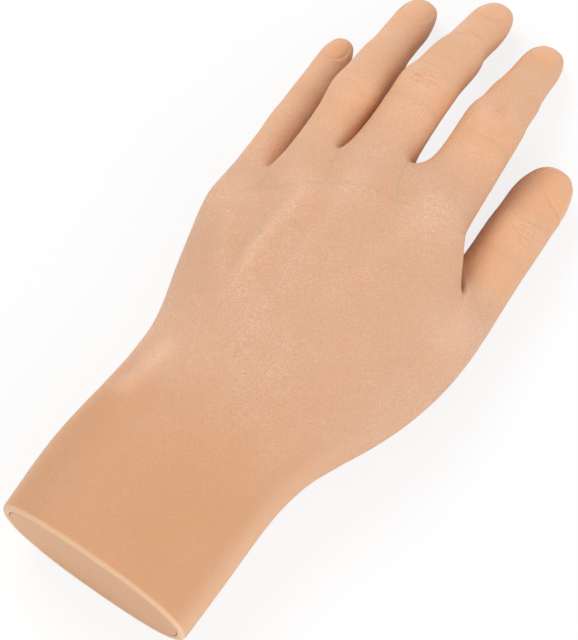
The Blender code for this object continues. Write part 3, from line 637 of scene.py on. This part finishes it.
def path_places(plan, start, guide, end):
    """Signed distance from a smooth path in plan, and progress along it from 0 to 1."""
    start, guide, end = map(np.array, (start, guide, end))
    shares = [i / PATH_STEPS for i in range(PATH_STEPS + 1)]
    path = [(1.0 - t) ** 2 * start + 2.0 * t * (1.0 - t) * guide + t * t * end for t in shares]
    best = np.full(len(plan), np.inf)
    side = np.ones(len(plan))
    progress = np.zeros(len(plan))
    for i in range(PATH_STEPS):
        along = path[i + 1] - path[i]
        offset = plan - path[i]
        t = np.clip(offset @ along / (along @ along), 0.0, 1.0)
        gap = np.linalg.norm(offset - t[:, None] * along, axis=1)
        closer = gap < best
        best[closer] = gap[closer]
        turn = along[0] * offset[:, 1] - along[1] * offset[:, 0]
        side[closer] = np.sign(turn[closer])
        progress[closer] = (i + t[closer]) / PATH_STEPS
    return best * side, progress


def sculpt_tendons(skin, height):
    """Raise the tendons on the back of the hand, with a painted highlight on each crest and painted shade
    beside it.
    """
    facing = skin.upward(0.35, 0.8)
    for start, guide, end, weight in TENDONS:
        across, t = path_places(skin.plan, start, guide, end)
        window = weight * ramp(t, 0.0, 0.2) * (1.0 - ramp(t, 0.6, 1.0)) * facing
        step = 0.7 * (0.5 - ramp(across, -4.0, 4.0)) * hill(across, 6.0)
        skin.lift += height * (hill(across, 2.4) - 0.35 * hill(across, 7.0) - step) * window
        # Painted highlight along the tendon crest and painted shade on its side away from the light
        skin.blush += 0.3 * hill(across, 2.0) * window
        skin.shade += 0.16 * hill(across - 5.0, 2.6) * window


def sculpt_creases(skin, digit, mine, random, depth):
    """Cut the creases over and under the hinges of a digit, with painted shade in them."""
    crease = digit.crease
    for joint in range(1, len(digit.lengths)):
        main = joint == 1
        width = digit.sizes[2 * joint][0]
        x, y, z, back = skin.local(digit, joint, min(digit.roll, CREASE_ROLL_LIMIT))
        bend = math.radians(0.5 * digit.bend(joint))
        y = y * math.cos(bend) + z * math.sin(bend)
        facing = ramp(back, 0.15, 0.6) * mine
        for line in MAIN_CREASES if main else END_CREASES:
            offset = line + random.uniform(-0.35, 0.35)
            bow = 1.0 + 0.45 * np.square(x / width) * np.sign(offset)
            wave = 0.3 * np.sin(x * random.uniform(0.5, 1.1) + random.uniform(0.0, 6.0))
            reach = random.uniform(0.3, 0.75) * width
            middle = random.uniform(-0.3, 0.3) * width
            strength = depth * random.uniform(0.4, 1.0) * crease * (1.0 if main else END_CREASE_SHARE)
            ends = 1.0 - ramp(np.abs(x - middle), 0.4 * reach, reach)
            groove = hill(y - offset * bow - wave, CREASE_WIDTH) * ends * facing
            # The crease is cut and gets painted shade
            skin.add(groove, lift=-strength, shade=CREASE_SHADE * crease)
        # Darker spot over the middle hinge, in the shade colour
        skin.shade += digit.blotch * main * hill(x, 1.8) * hill(y, 1.8) * facing
        skin.blush += 0.5 * hill(x, 0.6 * width) * hill(y, 4.0 if main else 3.0) * facing
        under = ramp(-back, 0.2, 0.6) * mine
        for line in PALM_SIDE_CREASES if main else (0.0,):
            # Painted shade in the creases under the hinge
            skin.add(hill(y - line - 0.02 * np.square(x), 0.5) * under, lift=-0.45, shade=0.5)
    x, y, z, back = skin.local(digit, 0)
    under = ramp(-back, 0.2, 0.6) * mine
    # Painted shade in the crease at the root of the digit
    skin.add(hill(y - digit.start + 1.0, 0.6) * under, lift=-0.5, shade=0.5)


def sculpt_nail(skin, digit, own, groove):
    """Shape the nail plate, its groove with painted shade in it and the fold behind it, and warm the
    digit.
    """
    last = len(digit.lengths) - 1
    length = digit.lengths[last]
    x, y, z, back = skin.local(digit, last, digit.roll)
    mine = own * ramp(back, -0.1, 0.25)
    near = NAIL_START * length
    far = length - NAIL_TIP
    u = np.abs(x) / (NAIL_SPREAD * digit.sizes[-2][0])
    v = (y - 0.5 * (near + far)) / (0.5 * (far - near))
    edge = np.power(np.power(u, NAIL_ROUND) + np.power(np.abs(v), NAIL_ROUND), 1.0 / NAIL_ROUND)
    inside = (1.0 - ramp(edge, 0.93, 1.02)) * mine
    skin.lift -= groove * hill(edge - 1.0, 0.075) * mine
    skin.lift += 0.1 * hill(edge - 1.2, 0.1) * mine * (1.0 - ramp(v, 0.2, 0.9))
    skin.lift += (0.05 + 0.1 * ramp(v, 0.1, 1.0)) * inside
    skin.nail = np.maximum(skin.nail, inside)
    # Painted shade along the groove round the nail
    skin.shade += 0.2 * hill(edge - 1.02, 0.06) * mine
    pad = ramp(-back, 0.0, 0.7) * own
    skin.lift += PAD_HEIGHT * hill(y - 0.6 * length, 0.25 * length) * pad
    x, y, z, back = skin.local(digit, 0)
    start = digit.start
    # Warmer beyond the knuckle: partly the digit's own tint, partly painted light as seen through thin
    # silicone
    skin.warm += ramp(y, WARM_START * start, WARM_END * start) * own


def sculpt_palm(skin):
    """Shape the wrist bone, the lines of the palm and the folds of the wrist, with painted shade in the
    hollow, lines and folds and a painted highlight on the wrist ridge.
    """
    plan = skin.plan
    facing = skin.upward(0.1, 0.7)
    for place, width, amounts in SPOTS:
        skin.add(hill(np.linalg.norm(plan - np.array(place), axis=1), width) * facing, **amounts)
    # Painted highlight along the crest of the wrist ridge
    across, t = path_places(plan, *WRIST_RIDGE)
    ridge = hill(across, 1.8) * ramp(t, 0.0, 0.25) * (1.0 - ramp(t, 0.7, 1.0)) * facing
    skin.add(ridge, lift=0.9, blush=0.75)
    across, t = path_places(plan, *WRIST_TENDON)
    skin.lift += 0.35 * hill(across, 3.0) * ramp(t, 0.0, 0.3) * (1.0 - ramp(t, 0.6, 1.0)) * facing
    under = ramp(-skin.normals[:, 2], 0.2, 0.6)
    # Lines of the palm and folds of the wrist are cut and get painted shade
    for path in PALM_LINES:
        across, t = path_places(plan, *path)
        skin.add(hill(across, 0.8) * under, lift=-0.8, shade=0.5)
    for y in WRIST_FOLDS:
        skin.add(hill(plan[:, 1] - y - 0.002 * np.square(plan[:, 0]), 0.7) * under, lift=-0.5, shade=0.4)


def sculpt_tones(skin):
    """Paint shade on the sides, warm the forearm but less on its flanks, and paint light on those flanks
    and a highlight on the rim of the cut.
    """
    along = skin.plan[:, 1]
    # Painted shade on the sides that turn away from the top, stronger on the fingers
    side = 1.0 - skin.upward(-0.2, 0.55)
    finger = ramp(along, 118.0, 150.0)
    skin.shade += side * (FINGER_SIDE_SHADE * finger + PALM_SIDE_SHADE * (1.0 - finger))
    flank = 1.0 - skin.upward(0.1, 0.8)
    # Forearm tint, weaker on the flanks so that they show paler: painted light on the flanks
    skin.tan += (1.0 - ramp(along, 30.0, 88.0)) * (1.0 - 0.35 * flank)
    # Painted light on the forearm flanks and a painted highlight along the edge of the cut
    painted_flank_light = PAINTED_FLANK_LIGHT * flank * (1.0 - ramp(along, 40.0, 80.0))
    skin.rim = np.maximum(1.0 - ramp(along, 0.3, 1.5), painted_flank_light)


def set_floats(mesh, name, values):
    """Store one number for every point."""
    layer = mesh.attributes.new(name, "FLOAT", "POINT")
    layer.data.foreach_set("value", np.clip(values, 0.0, 1.0).astype(np.float32))


def feed(tree, node, inputs):
    """Link sockets to a node's inputs and set constants on them."""
    for key, value in inputs.items():
        if isinstance(value, bpy.types.NodeSocket):
            tree.links.new(value, node.inputs[key])
        else:
            node.inputs[key].default_value = value


def add_node(tree, kind, inputs, **values):
    """New node with its values set and its inputs fed."""
    node = tree.nodes.new(kind)
    for key, value in values.items():
        setattr(node, key, value)
    feed(tree, node, inputs)
    return node


def relief_tree():
    """Geometry Nodes tree that gives a cast surface its slight unevenness."""
    tree = bpy.data.node_groups.new("Cast Relief", "GeometryNodeTree")
    face = tree.interface
    sockets = {}
    kinds = {"Geometry": "Geometry", "Depth": "Float", "Scale": "Float", "Finish": "Material"}
    for name, kind in kinds.items():
        made = face.new_socket(name, in_out="INPUT", socket_type="NodeSocket" + kind)
        sockets[name] = made.identifier
    face.new_socket("Geometry", in_out="OUTPUT", socket_type="NodeSocketGeometry")
    entry = tree.nodes.new("NodeGroupInput").outputs
    uneven = noise(tree, {"Scale": entry["Scale"], "Detail": 3.0, "Roughness": 0.55})
    smooth = add_node(tree, "GeometryNodeInputNamedAttribute", {"Name": "nail"}, data_type="FLOAT")
    free = calc(tree, "SUBTRACT", 1.0, smooth.outputs[0])
    amount = times(tree, calc(tree, "SUBTRACT", uneven, 0.5), free, entry["Depth"])
    normal = tree.nodes.new("GeometryNodeInputNormal").outputs[0]
    push = add_node(tree, "ShaderNodeVectorMath", {0: normal, "Scale": amount}, operation="SCALE")
    moves = {"Geometry": entry["Geometry"], "Offset": push.outputs[0]}
    move = add_node(tree, "GeometryNodeSetPosition", moves)
    real = add_node(tree, "GeometryNodeRealizeInstances", {0: move.outputs[0]})
    paints = {"Geometry": real.outputs[0], "Material": entry["Finish"]}
    paint = add_node(tree, "GeometryNodeSetMaterial", paints)
    add_node(tree, "NodeGroupOutput", {0: paint.outputs[0]})
    return tree, sockets


def new_material(name):
    """Material with a principled shader; returns it with its tree and shader."""
    made = bpy.data.materials.new(name)
    made.use_nodes = True
    tree = made.node_tree
    shader = tree.nodes["Principled BSDF"]
    return made, tree, shader


def colour_mix(tree, factor, first, second):
    """Mix two colours, each a socket or a constant."""
    first, second = (c if isinstance(c, bpy.types.NodeSocket) else (*c, 1.0) for c in (first, second))
    node = add_node(tree, "ShaderNodeMix", {0: factor, 6: first, 7: second}, data_type="RGBA")
    return node.outputs[2]


def calc(tree, operation, *values, clamp=False):
    """Math node with sockets or constants."""
    inputs = dict(enumerate(values))
    return add_node(tree, "ShaderNodeMath", inputs, operation=operation, use_clamp=clamp).outputs[0]


def times(tree, value, *others):
    """Product of sockets and constants."""
    for other in others:
        value = calc(tree, "MULTIPLY", value, other)
    return value


def attribute(tree, name, output="Fac"):
    """Read a stored value of the skin."""
    return add_node(tree, "ShaderNodeAttribute", {}, attribute_name=name).outputs[output]


def noise(tree, inputs):
    """Noise value."""
    return add_node(tree, "ShaderNodeTexNoise", inputs).outputs[0]


def bump(tree, height, strength, distance):
    """Normal of a fine relief."""
    inputs = {"Strength": strength, "Distance": distance, "Height": height}
    return add_node(tree, "ShaderNodeBump", inputs).outputs[0]


def line_field(tree, place, turn, scale):
    """Distance from a net of fine skin lines."""
    inputs = {"Vector": place, "Rotation": (0.0, 0.0, turn), "Scale": LINE_STRETCH}
    turned = add_node(tree, "ShaderNodeMapping", inputs).outputs[0]
    inputs = {"Vector": turned, "Scale": scale}
    return add_node(tree, "ShaderNodeTexVoronoi", inputs, feature="DISTANCE_TO_EDGE").outputs["Distance"]


def scaled(tree, value, gain, offset, clamp=False):
    """Scale and shift a value, and hold it between 0 and 1 where asked."""
    return calc(tree, "MULTIPLY_ADD", value, gain, offset, clamp=clamp)


def skin_material(settings):
    """Cast silicone skin: mottled flesh, paler knuckles, painted shade in creases and at the sides,
    painted highlights on ridges and the cut rim, fine crossing lines.
    """
    made, tree, shader = new_material("silicone_skin")
    place = attribute(tree, "rest_place", "Vector")
    nail = attribute(tree, "nail")
    mottle, speck, patch = (
        noise(tree, {"Vector": place, "Scale": scale, "Detail": detail, "Roughness": 0.6})
        for scale, detail in ((55.0, 4.0), (1700.0, 2.0), (42.0, 3.0))
    )
    patch = scaled(tree, patch, 4.0, -1.7, True)
    patch = scaled(tree, attribute(tree, "blush"), 0.6, patch)
    grain = scaled(tree, attribute(tree, "tan"), -0.7, 1.0)
    grain = times(tree, grain, calc(tree, "SUBTRACT", 1.0, nail))
    fields = [line_field(tree, place, turn, scale) for turn, scale in LINE_NETS]
    deep = tuple(0.5 * (a + b) for a, b in zip(settings.flesh, settings.shade))
    warm = times(tree, scaled(tree, mottle, 1.3, -0.4, True), 0.3)
    colour = colour_mix(tree, warm, settings.flesh, deep)
    for name, share in TINTS.items():
        factor = times(tree, attribute(tree, name), share)
        colour = colour_mix(tree, factor, colour, getattr(settings, name))
    pale = [(scaled(tree, field, -9.0, 1.0, True), 0.15, 0.11) for field in fields]
    pale.append((scaled(tree, speck, 9.0, -5.6, True), 0.3, 0.2))
    for value, gain, base in pale:
        share = scaled(tree, patch, gain, base)
        colour = colour_mix(tree, times(tree, value, grain, share), colour, settings.dry)
    rough = scaled(tree, speck, 0.16, 0.40)
    heights = [calc(tree, "MINIMUM", field, 0.16) for field in fields]
    lines = times(tree, calc(tree, "ADD", *heights), grain)
    feed(tree, shader, {
        "Base Color": colour,
        "Roughness": scaled(tree, nail, -0.1, rough),
        "IOR": 1.41,
        "Specular IOR Level": 0.42,
        "Subsurface Weight": 0.35,
        "Subsurface Radius": (1.0, 0.45, 0.25),
        "Subsurface Scale": 0.003,
        "Normal": bump(tree, scaled(tree, speck, 0.3, lines), 0.65, 0.0005),
    })
    return made


def plain_material(name, colour, rough, metal, grain, depth):
    """Moulded or drawn material with fine grain in colour, gloss and relief."""
    made, tree, shader = new_material(name)
    place = tree.nodes.new("ShaderNodeTexCoord").outputs["Object"]
    value = noise(tree, {"Vector": place, "Scale": grain, "Detail": 4.0, "Roughness": 0.6})
    feed(tree, shader, {
        "Base Color": colour_mix(tree, value, [0.82 * c for c in colour], colour),
        "Roughness": scaled(tree, value, 0.2, rough - 0.1),
        "Metallic": metal,
        "Normal": bump(tree, value, depth, 0.0004),
    })
    return made


def shown_mesh(holder):
    """Plain mesh of an object as its modifiers show it; the object goes."""
    bpy.context.view_layer.update()
    graph = bpy.context.evaluated_depsgraph_get()
    made = bpy.data.meshes.new_from_object(holder.evaluated_get(graph))
    holder.modifiers.clear()
    bpy.data.objects.remove(holder, do_unlink=True)
    return made


def link_object(name, data):
    """Put a mesh, lamp or camera in the scene as an object at the origin."""
    made = bpy.data.objects.new(name, data)
    bpy.context.scene.collection.objects.link(made)
    return made


def rounded(name, cage, levels):
    """Smooth mesh of a cage, with the piece number of every face kept."""
    mesh = bpy.data.meshes.new(name)
    bmesh.ops.recalc_face_normals(cage.bm, faces=cage.bm.faces)
    cage.bm.to_mesh(mesh)
    cage.bm.free()
    for _ in cage.pieces:
        mesh.materials.append(None)
    holder = link_object(name, mesh)
    rounding = holder.modifiers.new("Round", "SUBSURF")
    rounding.levels = levels
    rounding.render_levels = levels
    fine = shown_mesh(holder)
    bpy.data.meshes.remove(mesh)
    return fine


def sculpted_skin(settings):
    """Subdivide the cage and sculpt it; returns mesh, names of pieces and digits."""
    digits = {name: Digit(name) for name in DIGITS}
    cage = hand_cage(digits)
    fine = rounded("skin_cage", cage, settings.detail)
    skin = Surface(fine)
    owner = nearest_digit(skin, digits)
    sculpt_knuckles(skin, digits)
    sculpt_tendons(skin, settings.tendon_height)
    random = np.random.default_rng(CREASE_SEED)
    for number, digit in enumerate(digits.values()):
        sculpt_creases(skin, digit, owner == number, random, settings.crease_depth)
        sculpt_nail(skin, digit, owner == number, settings.nail_groove)
    sculpt_palm(skin)
    sculpt_tones(skin)
    moved = skin.points + skin.normals * (skin.lift * MM)[:, None]
    moved[:, 2] = np.maximum(moved[:, 2], FLOOR_GAP * MM)
    fine.vertices.foreach_set("co", moved.ravel())
    for name in TINTS:
        set_floats(fine, name, getattr(skin, name))
    fine.update()
    return fine, cage.pieces, digits


def cast_relief(fine, finish, settings):
    """Run the relief tree over the sculpted skin."""
    holder = link_object("skin_relief", fine)
    tree, sockets = relief_tree()
    step = holder.modifiers.new("Relief", "NODES")
    step.node_group = tree
    for name, value in (("Depth", settings.relief), ("Scale", RELIEF_SCALE), ("Finish", finish)):
        step[sockets[name]] = value
    return shown_mesh(holder)


def web_path(points, shared):
    """Order the points shared by two finger roots, over the web from the back to the palm."""
    along = points[shared] - points[shared][:, 1].min() * np.array((0.0, 1.0, 0.0))
    middle = 0.5 * (along[:, 2].max() + along[:, 2].min())
    return shared[np.argsort(np.arctan2(middle - along[:, 2], along[:, 1]))]


def web_wall(path, side):
    """Wall that closes a finger root at a web: points, faces and their direction."""
    centre = 0.5 * (path[0] + path[-1])
    count = len(path)
    across = np.cross(path[1:] - path[:-1], centre - path[:-1]).sum(axis=0)
    across /= np.linalg.norm(across)
    turned = [(i, i + 1, count) for i in range(count - 1)]
    if across[0] * side < 0.0:
        across = -across
        turned = [corner[::-1] for corner in turned]
    inset = centre - across * WALL_INSET * MM
    return np.vstack((path, inset)), turned, across


def split_skin(whole, numbers, pieces, finish):
    """Cut the skin into one mesh for each piece; returns the pieces and a finder of seams."""
    points = read(whole.vertices, "co", size=3)
    normals = read(whole.vertex_normals, "vector", size=3)
    corners = read(whole.loops, "vertex_index", np.int32).reshape(-1, 4)
    layers = {name: read(whole.attributes[name].data, "value") for name in TINTS}
    members = {}
    for number, piece in enumerate(pieces):
        members[piece] = np.unique(corners[numbers == number], return_inverse=True)

    def seam(first, second):
        """Numbers of the points that two pieces share."""
        return np.intersect1d(members[first][0], members[second][0])

    walls = {piece: [] for piece in pieces}
    roots = [name + "_mcp" for name in FINGERS]
    for left, right in zip(roots[:-1], roots[1:]):
        path = web_path(points, seam(left, right))
        walls[left].append((path, 1.0))
        walls[right].append((path, -1.0))
    made = {}
    for piece, (used, index) in members.items():
        faces = index.reshape(-1, 4).tolist()
        parts = [(points[used], normals[used], used)]
        for path, side in walls[piece]:
            wall, turned, direction = web_wall(points[path], side)
            first = sum(len(part[0]) for part in parts)
            faces += [[first + i for i in corner] for corner in turned]
            parts.append((wall, np.tile(direction, (len(wall), 1)), np.append(path, path[0])))
        places, facing, sources = (np.concatenate(group) for group in zip(*parts))
        places = places.astype(np.float32)
        mesh = bpy.data.meshes.new(piece + "_skin_form")
        mesh.from_pydata(places, [], faces)
        mesh.polygons.foreach_set("use_smooth", np.ones(len(faces), bool))
        for name, values in layers.items():
            set_floats(mesh, name, values[sources])
        place = mesh.attributes.new("rest_place", "FLOAT_VECTOR", "POINT")
        place.data.foreach_set("vector", places.ravel())
        mesh.materials.append(finish)
        mesh.update()
        mesh.normals_split_custom_set_from_vertices(facing.astype(np.float32))
        made[piece] = link_object(piece + "_form", mesh)
    return made, lambda first, second: points[seam(first, second)]


class HAND_OT_skin(bpy.types.Operator):
    """Build the silicone skin, cut it into pieces and hang the palm piece on the palm"""

    bl_idname = "hand.skin"
    bl_label = "Silicone Skin"

    def execute(self, context):
        settings = context.scene.hand_skin
        finish = skin_material(settings)
        fine, pieces, digits = sculpted_skin(settings)
        numbers = read(fine.polygons, "material_index", np.int32)
        whole = cast_relief(fine, finish, settings)
        made, seam = split_skin(whole, numbers, pieces, finish)
        bpy.data.meshes.remove(whole)
        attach(made["palm"], "palm")
        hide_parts("palm_skin", "knuckle_web", "thumb_mcp_band")
        for digit in digits.values():
            chain = ["palm"] + digit.hinges
            bodies = digit.bodies
            for joint, hinge in enumerate(digit.hinges):
                piece = made[hinge]
                near = seam(chain[joint], hinge)
                far = seam(hinge, chain[joint + 2]) if joint + 2 < len(chain) else None
                start, end = self.bend_range(digit, joint, near, far)
                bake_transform(piece)
                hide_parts(bodies[joint + 1] + "_skin")
                if joint:
                    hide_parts(hinge + "_band")
        return {"FINISHED"}

    def bend_range(self, digit, joint, near, far):
        """Start and end of the bend at a hinge, so that both seams keep still on their own bodies."""
        along = digit.along[max(joint - 1, 0)] + digit.along[joint]
        along.normalize()
        hinge = digit.points[joint]
        start = ((near - np.array(hinge)) @ np.array(along)).max()
        end = LAST_BEND * MM
        if far is not None:
            end = ((far - np.array(hinge)) @ np.array(along)).min()
        if joint == 0:
            end = min(end, start + BEND_LENGTH * MM)
        return tuple(hinge + along * start), tuple(hinge + along * end)


class HAND_OT_wrist_plug(bpy.types.Operator):
    """Build the flat plug inside the rim of the wrist"""

    bl_idname = "hand.wrist_plug"
    bl_label = "Wrist Plug"

    def execute(self, context):
        settings = context.scene.hand_inside
        finish = plain_material("plug_face", settings.plug, rough=0.55, metal=0.0, grain=900.0, depth=0.25)
        cage = Cage()
        rings = cage.end_rings(PLUG_RINGS)
        cage.face(rings[0])
        cage.face(rings[-1])
        fine = rounded("wrist_plug_form", cage, COARSE_DETAIL)
        fine.polygons.foreach_set("use_smooth", np.ones(len(fine.polygons), bool))
        fine.materials.clear()
        fine.materials.append(finish)
        holder = link_object("wrist_plug_form", fine)
        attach(holder, "palm")
        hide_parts("wrist_plug")
        return {"FINISHED"}


class HAND_OT_skeleton(bpy.types.Operator):
    """Give the bones, the palm frame and the hinge pins their finish"""

    bl_idname = "hand.skeleton"
    bl_label = "Skeleton Finish"

    def execute(self, context):
        settings = context.scene.hand_inside
        bone = plain_material("moulded_bone", settings.bone, rough=0.5, metal=0.0, grain=600.0, depth=0.2)
        pin = plain_material("drawn_pin", settings.pin, rough=0.3, metal=1.0, grain=1500.0, depth=0.1)
        for name, node in FRAME["nodes"].items():
            if name.endswith(("_pin", "_bone", "_frame")):
                node.data.materials.clear()
                node.data.materials.append(pin if name.endswith("_pin") else bone)
        return {"FINISHED"}


class HAND_OT_stage(bpy.types.Operator):
    """Set up the pale floor, the soft light and the camera"""

    bl_idname = "hand.stage"
    bl_label = "Studio Stage"

    def execute(self, context):
        settings = context.scene.hand_stage
        self.floor(settings)
        self.light(settings)
        self.camera(context, settings)
        context.scene.view_settings.view_transform = "Standard"
        context.scene.view_settings.look = "None"
        return {"FINISHED"}

    def floor(self, settings):
        """Lay a plain pale floor."""
        bm = bmesh.new()
        bmesh.ops.create_grid(bm, x_segments=2, y_segments=2, size=FLOOR_SIZE)
        mesh = bpy.data.meshes.new("floor")
        bm.to_mesh(mesh)
        bm.free()
        made, tree, shader = new_material("pale_floor")
        looks = {"Base Color": (*settings.floor, 1.0), "Roughness": 0.9, "Specular IOR Level": 0.1}
        feed(tree, shader, looks)
        seen = tree.nodes.new("ShaderNodeLightPath").outputs["Is Camera Ray"]
        white = tree.nodes.new("ShaderNodeEmission").outputs[0]
        share = times(tree, seen, settings.floor_white)
        blend = add_node(tree, "ShaderNodeMixShader", {0: share, 1: shader.outputs[0], 2: white})
        feed(tree, tree.nodes["Material Output"], {"Surface": blend.outputs[0]})
        mesh.materials.append(made)
        link_object("floor", mesh)

    def aim(self, target, place, ahead):
        """Put a lamp or camera in its place, looking ahead."""
        target.location = place
        target.rotation_euler = ahead.to_track_quat("-Z", "Y").to_euler()

    def light(self, settings):
        """Add two softboxes and an even surround."""
        for name, (place, size) in LIGHTS.items():
            data = bpy.data.lights.new(name, "AREA")
            data.shape = "DISK"
            data.size = size
            data.energy = getattr(settings, name + "_power")
            self.aim(link_object(name, data), place, Vector(LIGHT_TARGET) - Vector(place))
        world = bpy.data.worlds.new("surround")
        bpy.context.scene.world = world
        world.use_nodes = True
        looks = {"Color": (1.0, 1.0, 1.0, 1.0), "Strength": settings.surround}
        feed(world.node_tree, world.node_tree.nodes["Background"], looks)

    def camera(self, context, settings):
        """Aim the camera at the back of the hand."""
        flat = Vector((-math.sin(settings.azimuth), math.cos(settings.azimuth), 0.0))
        ahead = flat * math.cos(settings.elevation) - Vector((0.0, 0.0, math.sin(settings.elevation)))
        data = bpy.data.cameras.new("camera")
        data.lens = settings.lens
        data.sensor_width = SENSOR_WIDTH
        data.clip_start = CLIP_START
        camera = link_object("camera", data)
        self.aim(camera, row(CAMERA_TARGET) - ahead * settings.distance, ahead)
        context.scene.camera = camera


class HAND_PT_panel(bpy.types.Panel):
    """Steps and settings of the hand"""

    bl_idname = "HAND_PT_panel"
    bl_label = "Silicone Hand"
    bl_space_type = "VIEW_3D"
    bl_region_type = "UI"
    bl_category = "Hand"

    def draw(self, context):
        layout = self.layout
        for step in STEPS:
            layout.operator(step.bl_idname)
        for name, group in GROUPS:
            settings = getattr(context.scene, name)
            for key in group.__annotations__:
                layout.prop(settings, key)


STEPS = (HAND_OT_skin, HAND_OT_wrist_plug, HAND_OT_skeleton, HAND_OT_stage)
GROUPS = (("hand_skin", SkinSettings), ("hand_inside", InsideSettings), ("hand_stage", StageSettings))


def register():
    """Register the classes and their settings."""
    for name, group in GROUPS:
        bpy.utils.register_class(group)
        setattr(bpy.types.Scene, name, bpy.props.PointerProperty(type=group))
    for made in STEPS + (HAND_PT_panel,):
        bpy.utils.register_class(made)


def unregister():
    """Remove the classes and their settings."""
    for made in (HAND_PT_panel,) + STEPS[::-1]:
        bpy.utils.unregister_class(made)
    for name, group in GROUPS[::-1]:
        delattr(bpy.types.Scene, name)
        bpy.utils.unregister_class(group)


def main():
    """Dress the frame."""
    register()
    bpy.ops.hand.skin()
    bpy.ops.hand.wrist_plug()
    bpy.ops.hand.skeleton()
    bpy.ops.hand.stage()
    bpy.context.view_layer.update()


if __name__ == "__main__":
    main()
